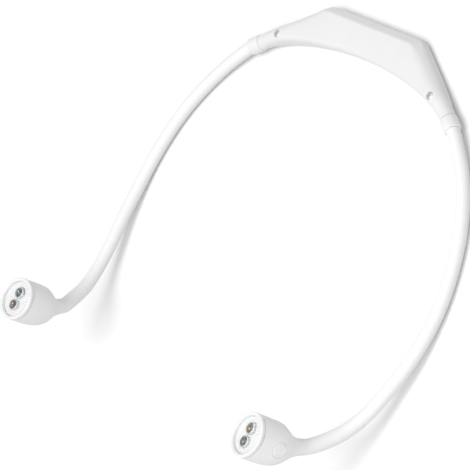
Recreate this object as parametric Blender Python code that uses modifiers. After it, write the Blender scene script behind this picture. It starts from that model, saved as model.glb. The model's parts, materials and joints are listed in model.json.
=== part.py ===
# Neck reading light: a bow-shaped rear housing, two gooseneck arms and two lamp heads.
# Lengths are in metres. +Z is up, the heads stand in front of the housing along -Y,
# and the part rests on the flat underside of the housing, with the origin on that face.

import math

import bmesh
import bpy
import numpy as np
from mathutils import Matrix, Vector

# Clearances
SEAT_GAP = 0.0003
OVERRUN = 0.002
TOUCH_STEP = 0.0002
END_STEP = 0.0008
WELD_DISTANCE = 0.000002

# Rear housing
HOUSING_HEIGHT = 0.0098
HOUSING_DEPTH = 0.0173
CORNER_ROUND = 0.020
INNER_BOW = 0.0093
FACET_RUN = 0.0035
FACET_DROP = 0.0042
FACE_ROUND = 0.0026
UNDER_ROUND = 0.0022
CREASE_ROUND = 0.0016
WALL = 0.0013

# Where the arm leaves the housing
SEAM_X = 0.0676
SEAM_Y = -0.01885
SEAM_DIAMETER = 0.0075
COLLAR_DROP_ANGLE = math.radians(32.8)
COLLAR_DIAMETER = 0.0080
COLLAR_LENGTH = 0.0069
COLLAR_ROUND = 0.0007
SPIGOT_DIAMETER = 0.0048
SPIGOT_LENGTH = 0.0040
END_WALL = 0.0048
FERRULE_DIAMETER = 0.0034
FERRULE_LENGTH = 0.0024
FERRULE_SETBACK = 0.0006

# Cover screws
SCREW_SETBACK_X = 0.0121
SCREW_SETBACK_Y = 0.00625
SCREW_HEAD_DIAMETER = 0.0030
SCREW_HEAD_HEIGHT = 0.0010
SCREW_RECESS_DEPTH = 0.0019
SCREW_SHANK_DIAMETER = 0.0013
SCREW_LENGTH = 0.0055
SCREW_HOLE_DIAMETER = 0.0017
CROSS_WIDTH = 0.00045
CROSS_LENGTH = 0.0018
CROSS_DEPTH = 0.0005
POST_DIAMETER = 0.0032
BOSS_DIAMETER = 0.0050

# Inside the housing
BATTERY_LENGTH = 0.038
BATTERY_WIDTH = 0.0100
BATTERY_HEADROOM = 0.0007
BATTERY_X = -0.011
BATTERY_Y = -0.0014
BATTERY_ROUND = 0.0010
PAD_THICKNESS = 0.0005
PAD_MARGIN = 0.0015
RIB_THICKNESS = 0.0010
RIB_HEIGHT = 0.0030
RIB_WIDTH = 0.0070
BOARD_LENGTH = 0.0220
BOARD_WIDTH = 0.0100
BOARD_THICKNESS = 0.0010
BOARD_SPACING = 0.0050
BOARD_Y = -0.0026
BOARD_RAIL_HEIGHT = 0.0004
CHIP_LENGTH = 0.0050
CHIP_WIDTH = 0.0040
CHIP_HEIGHT = 0.0011
SOCKET_WIDTH = 0.0090
SOCKET_HEIGHT = 0.0032
SOCKET_DEPTH = 0.0073
SOCKET_ROUND = 0.0012
SOCKET_WALL = 0.0003
SOCKET_MOUTH_DEPTH = 0.0065
SOCKET_INSET = 0.0004
SOCKET_OFFSET = -0.0040
TONGUE_WIDTH = 0.0066
TONGUE_THICKNESS = 0.0007
TONGUE_LENGTH = 0.0050
PIPE_DIAMETER = 0.0016
PIPE_LENGTH = 0.0030
PIPE_OFFSET = 0.0050
LEAD_DIAMETER = 0.0008
LEAD_HEIGHT = 0.0036
LEAD_BATTERY_GAP = 0.0010
LEAD_POST_GAP = 0.0007
LEAD_WALL_GAP = 0.0020
LEAD_RING_STEP = 0.0050

# Arms
ARM_DIAMETER = 0.0062
NECK_DIAMETER = 0.0070
FLOOR_CLEARANCE = 0.0001
HALF_SPAN = 0.109
ARM_RUN = 0.150
CORE_DIAMETER = 0.0022
SLEEVE_RING_STEP = 0.0070
FLEX_RING_STEP = 0.0048
CORE_RING_STEP = 0.0075
ROOT_FLEX_HALF = 0.0078
FLEX_HALF = 0.0075
NECK_FLEX_HALF = 0.0062
NECK_TAPER_LENGTH = 0.030

# Places along the arm, each a share of the way out, of the run and of the rise to the head
arm_route_shares = (
    (0.184, 0.042, 0.022),
    (0.381, 0.093, 0.009),
    (0.592, 0.166, 0.002),
    (0.789, 0.259, 0.000),
    (0.916, 0.356, 0.000),
    (0.986, 0.453, 0.002),
    (1.000, 0.549, 0.015),
    (0.972, 0.646, 0.046),
    (0.904, 0.739, 0.085),
    (0.831, 0.825, 0.142),
    (0.747, 0.893, 0.228),
    (0.671, 0.941, 0.339),
)
# Bending places, as shares of the sleeve's length from the collar to the boot
root_place_share = 0.049
middle_place_share = 0.405
wrist_place_share = 0.822

# Place of the heads, as shares of the way out and of the run
head_out_share = 0.489
head_run_share = 0.998

# Lamp heads
HEAD_Z = 0.0575
HEAD_LEAN_IN = math.radians(5.1)
HEAD_LEAN_BACK = math.radians(2.3)
RING_DIAMETER = 0.0202
RING_HEIGHT = 0.0020
RING_ROUND = 0.0007
RING_SKIRT_DEPTH = 0.0034
RING_BORE = 0.0166
RING_SKIRT_DIAMETER = 0.0178
BOOT_LENGTH = 0.0310
BOOT_DIAMETER = 0.0200
NECK_OFFSET = 0.0054
NECK_OUTWARD = 0.0015
LENS_DIAMETER = 0.0160
LENS_RECESS = 0.0020
LENS_THICKNESS = 0.0010
CUP_SPACING = 0.0060
CUP_RISE = 0.0017
CUP_DIAMETER = 0.0055
CUP_BORE = 0.0042
LED_DIAMETER = 0.0035
LED_HEIGHT = 0.0030
LED_DOME = 0.0008
LAMP_BODY_SHOULDER = 0.0064
LAMP_BODY_WIDE = 0.0178
LAMP_BODY_STEP = 0.0158
LAMP_BODY_BACK = 0.0138
LAMP_BODY_LENGTH = 0.0158
LAMP_BODY_FLOOR = 0.0012
LAMP_BODY_MOUTH = 0.0144
LAMP_BODY_BORE = 0.0096
LED_BOARD_DEPTH = 0.0050
LED_BOARD_THICKNESS = 0.0008
LED_BOARD_DIAMETER = 0.0138
BUTTON_DEPTH = 0.0124
BUTTON_DIAMETER = 0.0070
BUTTON_TRAVEL = 0.0005
SWITCH_SIZE = 0.0040
SWITCH_BASE = 0.0058
SWITCH_HEIGHT = 0.0012
SWITCH_STEM_DIAMETER = 0.0016
SWITCH_STEM_HEIGHT = 0.0005

# Boot outline: depth as a share of the boot's length, radius as a share of its own radius,
# and the sideways drift of its middle as a share of the neck's offset
boot_outline_shares = (
    (0.074, 1.000, 0.000),
    (0.200, 1.000, 0.026),
    (0.340, 0.990, 0.075),
    (0.430, 0.970, 0.130),
    (0.500, 0.930, 0.190),
    (0.560, 0.860, 0.240),
    (0.620, 0.755, 0.300),
    (0.680, 0.630, 0.370),
    (0.740, 0.515, 0.450),
    (0.800, 0.430, 0.540),
    (0.870, 0.375, 0.680),
)

# Places where the core's line passes through the boot, from the neck to the front
boot_route_shares = (1.00, 0.87, 0.62, 0.34, 0.00)
# How deep a screw boss ends under the face, as a share of the wall
boss_share = 0.75
# Where the housing starts to taper and to sink toward the seams, as shares of its half length
taper_share = 0.62
sink_share = 0.80
# Where the long cable turns along the rear wall, as a share of the housing's half length
lead_turn_share = 0.62
# Rounded tips of the core, as shares of its radius
tip_depth_shares = (0.10, 0.45)

PARTS = "neck_reading_light"
CUTTERS = "cutters"

MIDDLE_HEIGHT = HOUSING_HEIGHT / 2
FLAT_RUN_HEIGHT = ARM_DIAMETER / 2 + FLOOR_CLEARANCE
COLLAR_AXIS = Vector((math.cos(COLLAR_DROP_ANGLE), -math.sin(COLLAR_DROP_ANGLE), 0))
SEAM = Vector((SEAM_X, SEAM_Y, MIDDLE_HEIGHT))
COLLAR_END = SEAM + COLLAR_AXIS * COLLAR_LENGTH
HEAD_X = COLLAR_END.x + head_out_share * (HALF_SPAN - COLLAR_END.x)
HEAD_Y = COLLAR_END.y - head_run_share * ARM_RUN
ANCHOR_START = SEAM - COLLAR_AXIS * (END_WALL + FERRULE_SETBACK + FERRULE_LENGTH)
SEAM_NORMAL = Vector((-COLLAR_AXIS.y, COLLAR_AXIS.x, 0))
OUTER_END = SEAM + SEAM_NORMAL * (SEAM_DIAMETER / 2)
INNER_END = SEAM - SEAM_NORMAL * (SEAM_DIAMETER / 2)
CORE_BORE = CORE_DIAMETER + 2 * SEAT_GAP
SCREW_X = SEAM_X - SCREW_SETBACK_X
SCREW_Y = SEAM_Y + SCREW_SETBACK_Y
BOARD_X = BATTERY_X + BATTERY_LENGTH / 2 + BOARD_SPACING + BOARD_LENGTH / 2
BOARD_BASE = WALL + BOARD_RAIL_HEIGHT + SEAT_GAP
SOCKET_X = BOARD_X + SOCKET_OFFSET
PIPE_X = BOARD_X + PIPE_OFFSET
PAD_BASE = WALL + SEAT_GAP
BATTERY_BASE = PAD_BASE + PAD_THICKNESS + SEAT_GAP
BATTERY_THICKNESS = HOUSING_HEIGHT - WALL - BATTERY_HEADROOM - BATTERY_BASE
BUTTON_SEAT = SWITCH_BASE + SWITCH_HEIGHT + SWITCH_STEM_HEIGHT + BUTTON_TRAVEL + SEAT_GAP
SIDES = {"right": 1, "left": -1}


def clear_scene():
    for obj in list(bpy.data.objects):
        bpy.data.objects.remove(obj, do_unlink=True)


def new_collection(name):
    found = bpy.data.collections.get(name) or bpy.data.collections.new(name)
    if found.name not in bpy.context.scene.collection.children:
        bpy.context.scene.collection.children.link(found)
    return found


def material(name, color, roughness, metallic=0.0, transmission=0.0):
    found = bpy.data.materials.get(name) or bpy.data.materials.new(name)
    found.use_nodes = True
    shader = found.node_tree.nodes["Principled BSDF"]
    shader.inputs["Base Color"].default_value = (*color, 1)
    shader.inputs["Roughness"].default_value = roughness
    shader.inputs["Metallic"].default_value = metallic
    shader.inputs["Transmission Weight"].default_value = transmission
    return found


def materials():
    return {
        "cover": material("white_housing", (0.86, 0.86, 0.86), 0.42),
        "silicone": material("white_silicone", (0.85, 0.85, 0.85), 0.6),
        "collar": material("white_collar", (0.84, 0.84, 0.84), 0.45),
        "ring": material("frosted_ring", (0.9, 0.9, 0.9), 0.3, transmission=0.3),
        "lens": material("clear_lens", (0.95, 0.95, 0.95), 0.08, transmission=0.9),
        "inner": material("inner_plastic", (0.7, 0.7, 0.7), 0.5),
        "steel": material("screw_steel", (0.6, 0.6, 0.6), 0.3, metallic=1.0),
        "core": material("core_wire", (0.45, 0.45, 0.47), 0.4, metallic=1.0),
        "board": material("green_board", (0.02, 0.2, 0.08), 0.5),
        "cell": material("cell_pouch", (0.55, 0.56, 0.58), 0.35, metallic=0.6),
        "foam": material("foam_pad", (0.05, 0.05, 0.05), 0.9),
        "cable": material("cable_skin", (0.8, 0.8, 0.8), 0.5),
        "cool": material("cool_phosphor", (0.35, 0.42, 0.5), 0.3),
        "warm": material("warm_phosphor", (0.55, 0.4, 0.2), 0.3),
    }


def add_object(name, mesh, look=None, matrix=None):
    """A part, or a cutter when it has no material."""
    obj = bpy.data.objects.new(name, mesh)
    if matrix is not None:
        obj.matrix_world = matrix
    if look is None:
        new_collection(CUTTERS).objects.link(obj)
        obj.hide_render = True
        obj.display_type = "WIRE"
    else:
        new_collection(PARTS).objects.link(obj)
        mesh.materials.clear()
        mesh.materials.append(look)
    return obj


def shade(obj):
    obj.data.shade_smooth()
    obj.data.set_sharp_from_angle(angle=math.radians(38))


def box(name, size, center, look=None, matrix=None):
    mesh = bpy.data.meshes.new(name)
    shape = bmesh.new()
    bmesh.ops.create_cube(shape, size=1)
    bmesh.ops.scale(shape, vec=Vector(size), verts=shape.verts)
    bmesh.ops.translate(shape, vec=Vector(center), verts=shape.verts)
    shape.to_mesh(mesh)
    shape.free()
    return add_object(name, mesh, look, matrix)


def cylinder(name, diameter, low, high, look=None, matrix=None, sides=24):
    """A cylinder along local Z from low to high."""
    mesh = bpy.data.meshes.new(name)
    shape = bmesh.new()
    bmesh.ops.create_cone(
        shape,
        cap_ends=True,
        segments=sides,
        radius1=diameter / 2,
        radius2=diameter / 2,
        depth=high - low,
    )
    bmesh.ops.translate(shape, vec=Vector((0, 0, (low + high) / 2)), verts=shape.verts)
    shape.to_mesh(mesh)
    shape.free()
    obj = add_object(name, mesh, look, matrix)
    if look is not None:
        shade(obj)
    return obj


def turned(name, outline, look=None, matrix=None, sides=24, closed=False):
    """A profile of (radius, height) points, outer side top to bottom, turned about local Z."""
    mesh = bpy.data.meshes.new(name)
    count = len(outline)
    edges = [(i, i + 1) for i in range(count - 1)]
    if closed:
        edges.append((count - 1, 0))
    mesh.from_pydata([(radius, 0, height) for radius, height in outline], edges, [])
    obj = add_object(name, mesh, look, matrix)
    screw = obj.modifiers.new("turn", "SCREW")
    screw.axis = "Z"
    screw.steps = sides
    screw.render_steps = sides
    screw.use_merge_vertices = True
    screw.merge_threshold = 0.000005
    screw.use_smooth_shade = True
    return obj


def cut(obj, cutter, operation="DIFFERENCE"):
    change = obj.modifiers.new(f"{operation.lower()}_{cutter.name}", "BOOLEAN")
    change.operation = operation
    change.object = cutter
    change.solver = "EXACT"


def join(obj, other):
    cut(obj, other, "UNION")


def arc(center, radius, start, end, steps):
    """Points of (radius, height) on a quarter or other arc, angles in degrees from +X."""
    points = []
    for step in range(steps + 1):
        angle = math.radians(start + (end - start) * step / steps)
        points.append((center[0] + radius * math.cos(angle), center[1] + radius * math.sin(angle)))
    return points


def mirrored(point, side):
    return Vector((point[0] * side, point[1], point[2]))


class Route:
    """A smooth line that starts straight and then passes through corners, measured by length."""

    PIECES = 24

    def __init__(self, start, corners):
        knots = [(start + corners[0]) / 2, *corners, corners[-1] * 2 - corners[-2]]
        fine = [start]
        for index in range(len(knots) - 3):
            fine += self.span(knots[index : index + 4])
        fine.append(corners[-1])
        self.points = np.array([tuple(point) for point in fine])
        steps = np.linalg.norm(np.diff(self.points, axis=0), axis=1)
        self.lengths = np.concatenate([[0], np.cumsum(steps)])
        self.length = float(self.lengths[-1])
        self.straight = (corners[0] - start).length
        self.corner_at = [float(self.lengths[1 + self.PIECES * k]) for k in range(len(corners))]

    def span(self, knots):
        """Points of the centripetal Catmull-Rom curve between the middle two of four knots."""
        times = [0.0]
        for first, second in zip(knots, knots[1:]):
            times.append(times[-1] + (second - first).length ** 0.5)
        found = []
        for piece in range(self.PIECES):
            at = times[1] + (times[2] - times[1]) * piece / self.PIECES
            level = knots
            for width, first_time in ((1, 0), (2, 0), (1, 1)):
                lows = times[first_time:]
                highs = lows[width:]
                level = [
                    self.between(level[i], level[i + 1], lows[i], highs[i], at) for i in range(len(level) - 1)
                ]
            found.append(level[0])
        return found

    @staticmethod
    def between(first, second, low, high, at):
        share = (at - low) / (high - low)
        return first * (1 - share) + second * share

    def at(self, distance):
        return Vector([float(np.interp(distance, self.lengths, self.points[:, k])) for k in range(3)])

    def direction(self, distance):
        before = self.at(max(distance - TOUCH_STEP, 0))
        after = self.at(min(distance + TOUCH_STEP, self.length))
        return (after - before).normalized()


def head_axis(side):
    """Unit vector out of the front of a lamp head."""
    return Vector((-side * math.tan(HEAD_LEAN_IN), math.tan(HEAD_LEAN_BACK), 1)).normalized()


def head_matrix(side):
    """Local Z leaves the front of the head, local X points away from the other head."""
    z_axis = head_axis(side)
    x_axis = Vector((side, 0, 0))
    x_axis = (x_axis - z_axis * x_axis.dot(z_axis)).normalized()
    y_axis = z_axis.cross(x_axis)
    turn = Matrix((x_axis, y_axis, z_axis)).transposed().to_4x4()
    return Matrix.Translation((HEAD_X * side, HEAD_Y, HEAD_Z)) @ turn


def head_front(side):
    return Vector((HEAD_X * side, HEAD_Y, HEAD_Z))


def boot_share(depth_share, column):
    """The boot outline between its stations: column 1 is the radius, 2 the drift."""
    neck_end = (1.0, NECK_DIAMETER / BOOT_DIAMETER, 1.0)
    rows = [(0.0, 1.0, 0.0), *boot_outline_shares, neck_end]
    return float(np.interp(depth_share, [row[0] for row in rows], [row[column] for row in rows]))


def boot_middle(side, depth_share):
    """Middle of the boot behind the front of the head, drifting toward the neck."""
    drift = Vector((NECK_OUTWARD * side, NECK_OFFSET, 0)) * boot_share(depth_share, 2)
    return head_front(side) - head_axis(side) * (BOOT_LENGTH * depth_share) + drift


def arm_route(side):
    """The core's line from inside the housing to the front of the head."""
    corners = [mirrored(COLLAR_END, side)]
    for out_share, run_share, rise_share in arm_route_shares:
        corners.append(
            Vector((
                side * (COLLAR_END.x + out_share * (HALF_SPAN - COLLAR_END.x)),
                COLLAR_END.y - run_share * ARM_RUN,
                FLAT_RUN_HEIGHT + rise_share * (HEAD_Z - FLAT_RUN_HEIGHT),
            ))
        )
    corners += [boot_middle(side, depth_share) for depth_share in boot_route_shares]
    return Route(mirrored(ANCHOR_START, side), corners)


def stations(low, high, step):
    """Distances from low to high, with one close to each end so that the end faces are square."""
    count = max(1, round((high - low) / step))
    middle = [low + (high - low) * k / count for k in range(1, count)]
    return [low, low + END_STEP, *middle, high - END_STEP, high]


def sweep(name, points, radii, look=None, sides=12, capped=True):
    """A round tube through points, with a radius at each, as a mesh."""
    curve = bpy.data.curves.new(name, "CURVE")
    curve.dimensions = "3D"
    curve.twist_mode = "MINIMUM"
    curve.bevel_depth = 1
    curve.bevel_resolution = sides // 2 - 2
    curve.use_fill_caps = capped
    spline = curve.splines.new("POLY")
    spline.points.add(len(points) - 1)
    for knot, point, radius in zip(spline.points, points, radii):
        knot.co = (*point, 1)
        knot.radius = radius
    guide = bpy.data.objects.new(f"{name}_guide", curve)
    bpy.context.scene.collection.objects.link(guide)
    graph = bpy.context.evaluated_depsgraph_get()
    mesh = bpy.data.meshes.new_from_object(guide.evaluated_get(graph))
    bpy.data.objects.remove(guide, do_unlink=True)
    shape = bmesh.new()
    shape.from_mesh(mesh)
    bmesh.ops.remove_doubles(shape, verts=shape.verts, dist=WELD_DISTANCE)
    bmesh.ops.recalc_face_normals(shape, faces=shape.faces)
    shape.to_mesh(mesh)
    shape.free()
    mesh.name = name
    obj = add_object(name, mesh, look)
    shade(obj)
    return obj


def end_pair(route, boundary, way):
    """Two points just off a boundary, so that the end faces on its two sides are parallel."""
    direction = route.direction(boundary) * way
    first = route.at(boundary) + direction * SEAT_GAP / 2
    return [first, first + direction * END_STEP]


def sleeve(name, route, low, high, radius_at, look):
    """A hollow stretch of silicone round the core; the bending ones have closer rings."""
    places = stations(low, high, FLEX_RING_STEP if "flex" in name else SLEEVE_RING_STEP)
    points = end_pair(route, low, 1)
    points += [route.at(place) for place in places[2:-2]]
    points += reversed(end_pair(route, high, -1))
    radii = [radius_at(place) for place in places]
    obj = sweep(name, points, radii, look, sides=10, capped=False)
    skin = obj.modifiers.new("wall", "SOLIDIFY")
    skin.thickness = (ARM_DIAMETER - CORE_BORE) / 2
    skin.offset = -1
    skin.use_even_offset = True
    return obj


def core(name, route, low, high, look):
    """A stretch of the bendable core, with a rounded tip at each end that isn't inside a shell."""
    radius = CORE_DIAMETER / 2
    places = [low + radius * share for share in tip_depth_shares]
    count = max(2, round((high - low) / CORE_RING_STEP))
    places += [low + radius + (high - low - 2 * radius) * k / count for k in range(count + 1)]
    places += [high - radius * share for share in reversed(tip_depth_shares)]
    radii = []
    for place in places:
        depth = min(place - low, high - place, radius)
        radii.append(math.sqrt(radius**2 - (radius - depth) ** 2))
    return sweep(name, [route.at(place) for place in places], radii, look, sides=6)


def outer_edge(share):
    """Point on the rear edge: straight, a rounded corner, then straight to the seam."""
    corner_x = OUTER_END.x - (HOUSING_DEPTH / 2 - OUTER_END.y) / math.tan(COLLAR_DROP_ANGLE)
    tangent = CORNER_ROUND * math.tan(COLLAR_DROP_ANGLE / 2)
    straight = corner_x - tangent
    bend = CORNER_ROUND * COLLAR_DROP_ANGLE
    corner = Vector((corner_x, HOUSING_DEPTH / 2, 0))
    slope = (OUTER_END.xy - corner.xy).length - tangent
    distance = share * (straight + bend + slope)
    if distance < straight:
        return Vector((distance, HOUSING_DEPTH / 2, 0))
    if distance < straight + bend:
        turned_by = (distance - straight) / CORNER_ROUND
        low = HOUSING_DEPTH / 2 - CORNER_ROUND
        around = Vector((math.sin(turned_by), math.cos(turned_by), 0))
        return Vector((straight, low, 0)) + around * CORNER_ROUND
    left = straight + bend + slope - distance
    return Vector((OUTER_END.x, OUTER_END.y, 0)) - COLLAR_AXIS * left


def inner_edge(share):
    """Point on the concave inner edge, hooked toward the seam."""
    hook = -INNER_END.y - HOUSING_DEPTH / 2 - INNER_BOW
    return Vector((share * INNER_END.x, -HOUSING_DEPTH / 2 - INNER_BOW * share**2 - hook * share**8, 0))


def ease(value):
    value = min(max(value, 0), 1)
    return value * value * (3 - 2 * value)


def section_corners(depth, share):
    """Corners of the housing's section as (across, up, rounding), from the inner underside round."""
    seam_radius = SEAM_DIAMETER / 2
    taper = ease((share - taper_share) / (1 - taper_share))
    sink = ease((share - sink_share) / (1 - sink_share))
    height = HOUSING_HEIGHT + (SEAM_DIAMETER - HOUSING_HEIGHT) * sink
    base = MIDDLE_HEIGHT - height / 2
    round_chamfer = seam_radius * (2 - math.sqrt(2))
    run = FACET_RUN + (round_chamfer - FACET_RUN) * taper
    drop = FACET_DROP + (round_chamfer - FACET_DROP) * taper
    under = UNDER_ROUND + (seam_radius - UNDER_ROUND) * taper
    crease = CREASE_ROUND + (seam_radius - CREASE_ROUND) * taper
    crease_reach = crease * math.tan(math.atan2(drop, run) / 2)
    face = min(FACE_ROUND + (seam_radius - FACE_ROUND) * taper, depth - run - crease_reach)
    top = base + height
    return [
        (0, base, under),
        (depth, base, under),
        (depth, top - drop, crease),
        (depth - run, top, crease),
        (0, top, face),
    ]


def inset_corners(corners, inset):
    """The same corners moved inward by the wall."""
    found = []
    count = len(corners)
    for index, (across, up, rounding) in enumerate(corners):
        here = Vector((across, up))
        before = (here - Vector(corners[index - 1][:2])).normalized()
        after = (Vector(corners[(index + 1) % count][:2]) - here).normalized()
        inward = Vector((-before.y, before.x)) + Vector((-after.y, after.x))
        inward /= 1 + before.dot(after)
        moved = here + inward * inset
        found.append((moved.x, moved.y, max(rounding - inset, SEAT_GAP)))
    return found


def rounded_outline(corners, steps):
    """Points round the corners, each corner an arc of so many steps."""
    points = []
    count = len(corners)
    for index, (across, up, rounding) in enumerate(corners):
        here = Vector((across, up))
        before = (here - Vector(corners[index - 1][:2])).normalized()
        after = (Vector(corners[(index + 1) % count][:2]) - here).normalized()
        turn = math.acos(max(-1, min(1, before.dot(after))))
        first = Vector((before.y, -before.x))
        bisector = (first + Vector((after.y, -after.x))).normalized()
        center = here - bisector * (rounding / math.cos(turn / 2))
        start = math.atan2(first.y, first.x)
        for step in range(steps + 1):
            angle = start + turn * step / steps
            points.append(center + Vector((math.cos(angle), math.sin(angle))) * rounding)
    return points


def housing_ring(share, inset):
    """One section of the housing as points in space; a negative share is on the left."""
    side = -1 if share < 0 else 1
    outer = outer_edge(abs(share))
    inner = inner_edge(abs(share))
    across = outer - inner
    depth = across.length
    across.normalize()
    corners = section_corners(depth, abs(share))
    steps = 3
    if inset:
        corners = inset_corners(corners, inset)
        steps = 2
    found = []
    for point in rounded_outline(corners, steps):
        place = inner + across * point.x
        found.append(Vector((place.x * side, place.y, point.y)))
    return found


def loft(name, rings, look=None):
    """A closed body through rings of equal count."""
    mesh = bpy.data.meshes.new(name)
    shape = bmesh.new()
    rows = [[shape.verts.new(point) for point in ring] for ring in rings]
    for first, second in zip(rows, rows[1:]):
        for index in range(len(first)):
            following = (index + 1) % len(first)
            shape.faces.new((first[index], first[following], second[following], second[index]))
    shape.faces.new(list(reversed(rows[0])))
    shape.faces.new(rows[-1])
    bmesh.ops.remove_doubles(shape, verts=shape.verts, dist=WELD_DISTANCE)
    bmesh.ops.recalc_face_normals(shape, faces=shape.faces)
    shape.to_mesh(mesh)
    shape.free()
    obj = add_object(name, mesh, look)
    shade(obj)
    return obj


def housing_loft(name, end_share, inset, look=None):
    count = 6 if inset else 11
    shares = [end_share * k / count for k in range(-count, count + 1)]
    return loft(name, [housing_ring(share, inset) for share in shares], look)


def block(name, size, center, rounding=0, look=None, matrix=None, every_edge=True):
    """A box; the rounding is on every edge, or only on those along Y."""
    obj = box(name, size, center, look, matrix)
    if rounding:
        shape = bmesh.new()
        shape.from_mesh(obj.data)
        edges = list(shape.edges)
        if not every_edge:
            edges = [e for e in edges if abs((e.verts[0].co - e.verts[1].co).y) > WELD_DISTANCE]
        bmesh.ops.bevel(shape, geom=edges, offset=rounding, segments=3, profile=0.5, affect="EDGES")
        shape.to_mesh(obj.data)
        shape.free()
    return obj


def along(matrix, axis):
    """The frame turned so that its local Z lies along one of its other axes."""
    turns = {"X": Matrix.Rotation(math.pi / 2, 4, "Y"), "Y": Matrix.Rotation(-math.pi / 2, 4, "X")}
    return matrix @ turns[axis]


def collar_matrix(side):
    """Local Z leaves the housing along the collar's axis, from the seam."""
    axis = mirrored(COLLAR_AXIS, side)
    turn = Vector((0, 0, 1)).rotation_difference(axis).to_matrix().to_4x4()
    return Matrix.Translation(mirrored(SEAM, side)) @ turn


def screw_place(side, height=0.0):
    return Matrix.Translation((SCREW_X * side, SCREW_Y, height))


def socket_center():
    """Middle of the charging socket, its mouth just inside the inner edge."""
    share = (SOCKET_X - SOCKET_WIDTH / 2) / INNER_END.x
    mouth = inner_edge(share).y + SOCKET_INSET
    height = BOARD_BASE + BOARD_THICKNESS + SEAT_GAP + SOCKET_HEIGHT / 2
    return Vector((SOCKET_X, mouth + SOCKET_DEPTH / 2, height))


def pipe_start():
    share = PIPE_X / INNER_END.x
    return Vector((PIPE_X, inner_edge(share).y + SEAT_GAP / 2, MIDDLE_HEIGHT))


def cut_shared_openings(cover):
    """The holes that both covers share at the parting: collars, core, socket and light pipe."""
    name = cover.name
    for word, side in SIDES.items():
        frame = collar_matrix(side)
        wide = SPIGOT_DIAMETER + 2 * SEAT_GAP
        deep = -SPIGOT_LENGTH - SEAT_GAP
        cut(cover, cylinder(f"{name}_{word}_pocket", wide, deep, OVERRUN, matrix=frame, sides=18))
        deep = -END_WALL - OVERRUN
        cut(cover, cylinder(f"{name}_{word}_bore", CORE_BORE, deep, OVERRUN, matrix=frame, sides=12))
    middle = socket_center()
    size = (SOCKET_WIDTH + 2 * SEAT_GAP, SOCKET_DEPTH + OVERRUN, SOCKET_HEIGHT + 2 * SEAT_GAP)
    mouth = block(f"{name}_mouth", size, middle - Vector((0, OVERRUN, 0)), SOCKET_ROUND, every_edge=False)
    cut(cover, mouth)
    hole = along(Matrix.Translation(pipe_start()), "Y")
    wide = PIPE_DIAMETER + 2 * SEAT_GAP
    cut(cover, cylinder(f"{name}_pipe_hole", wide, -OVERRUN, PIPE_LENGTH, matrix=hole, sides=16))


def half_space(name, above):
    """A box over or under the parting plane, to cut one cover away from the other."""
    size = Vector((2 * (SEAM_X + COLLAR_LENGTH), 3 * HOUSING_DEPTH + 2 * abs(SEAM_Y), 2 * HOUSING_HEIGHT))
    height = MIDDLE_HEIGHT + (size.z / 2 - SEAT_GAP / 2) * (1 if above else -1)
    return box(name, size, (0, 0, height))


def build_back_cover(looks):
    cover = housing_loft("back_cover", 1, 0, looks["cover"])
    cut(cover, housing_loft("back_cavity", cavity_end_share(), WALL))
    cut(cover, half_space("below_parting", above=False))
    boss_low = MIDDLE_HEIGHT + SEAT_GAP
    boss_top = HOUSING_HEIGHT - WALL * boss_share
    for word, side in SIDES.items():
        frame = screw_place(side)
        join(cover, cylinder(f"{word}_boss", BOSS_DIAMETER, boss_low, boss_top, matrix=frame, sides=14))
    for word, side in SIDES.items():
        frame = screw_place(side, HOUSING_HEIGHT)
        wide = SCREW_HEAD_DIAMETER + 2 * SEAT_GAP
        cut(cover, cylinder(f"{word}_recess", wide, -SCREW_RECESS_DEPTH, OVERRUN, matrix=frame, sides=18))
        wide = SCREW_HOLE_DIAMETER
        cut(cover, cylinder(f"{word}_passage", wide, -HOUSING_HEIGHT, OVERRUN, matrix=frame, sides=12))
    cut_shared_openings(cover)
    return cover


def build_front_cover(looks):
    cover = housing_loft("front_cover", 1, 0, looks["cover"])
    cut(cover, housing_loft("front_cavity", cavity_end_share(), WALL))
    cut(cover, half_space("above_parting", above=True))
    post_top = MIDDLE_HEIGHT - SEAT_GAP
    for word, side in SIDES.items():
        frame = screw_place(side)
        join(cover, cylinder(f"{word}_post", POST_DIAMETER, WALL / 2, post_top, matrix=frame, sides=14))
        rib_x = BATTERY_X + side * (BATTERY_LENGTH / 2 + SEAT_GAP + RIB_THICKNESS / 2)
        size = (RIB_THICKNESS, RIB_WIDTH, RIB_HEIGHT + WALL / 2)
        join(cover, box(f"{word}_battery_rib", size, (rib_x, BATTERY_Y, WALL + RIB_HEIGHT - size[2] / 2)))
        size = (BOARD_LENGTH, RIB_THICKNESS, BOARD_RAIL_HEIGHT + WALL / 2)
        rail_y = BOARD_Y + side * BOARD_WIDTH / 4
        rail_z = WALL + BOARD_RAIL_HEIGHT - size[2] / 2
        join(cover, box(f"{word}_board_rail", size, (BOARD_X, rail_y, rail_z)))
    hole_low = screw_tip() - SEAT_GAP
    for word, side in SIDES.items():
        frame = screw_place(side)
        wide = SCREW_HOLE_DIAMETER
        cut(cover, cylinder(f"{word}_post_hole", wide, hole_low, HOUSING_HEIGHT, matrix=frame, sides=12))
    cut_shared_openings(cover)
    return cover


def cavity_end_share():
    """Where the hollow of the housing stops, as a share of its half length."""
    return 1 - END_WALL * COLLAR_AXIS.x / INNER_END.x


def screw_seat():
    return HOUSING_HEIGHT - SCREW_RECESS_DEPTH + SEAT_GAP


def screw_tip():
    return screw_seat() - SCREW_LENGTH


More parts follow.
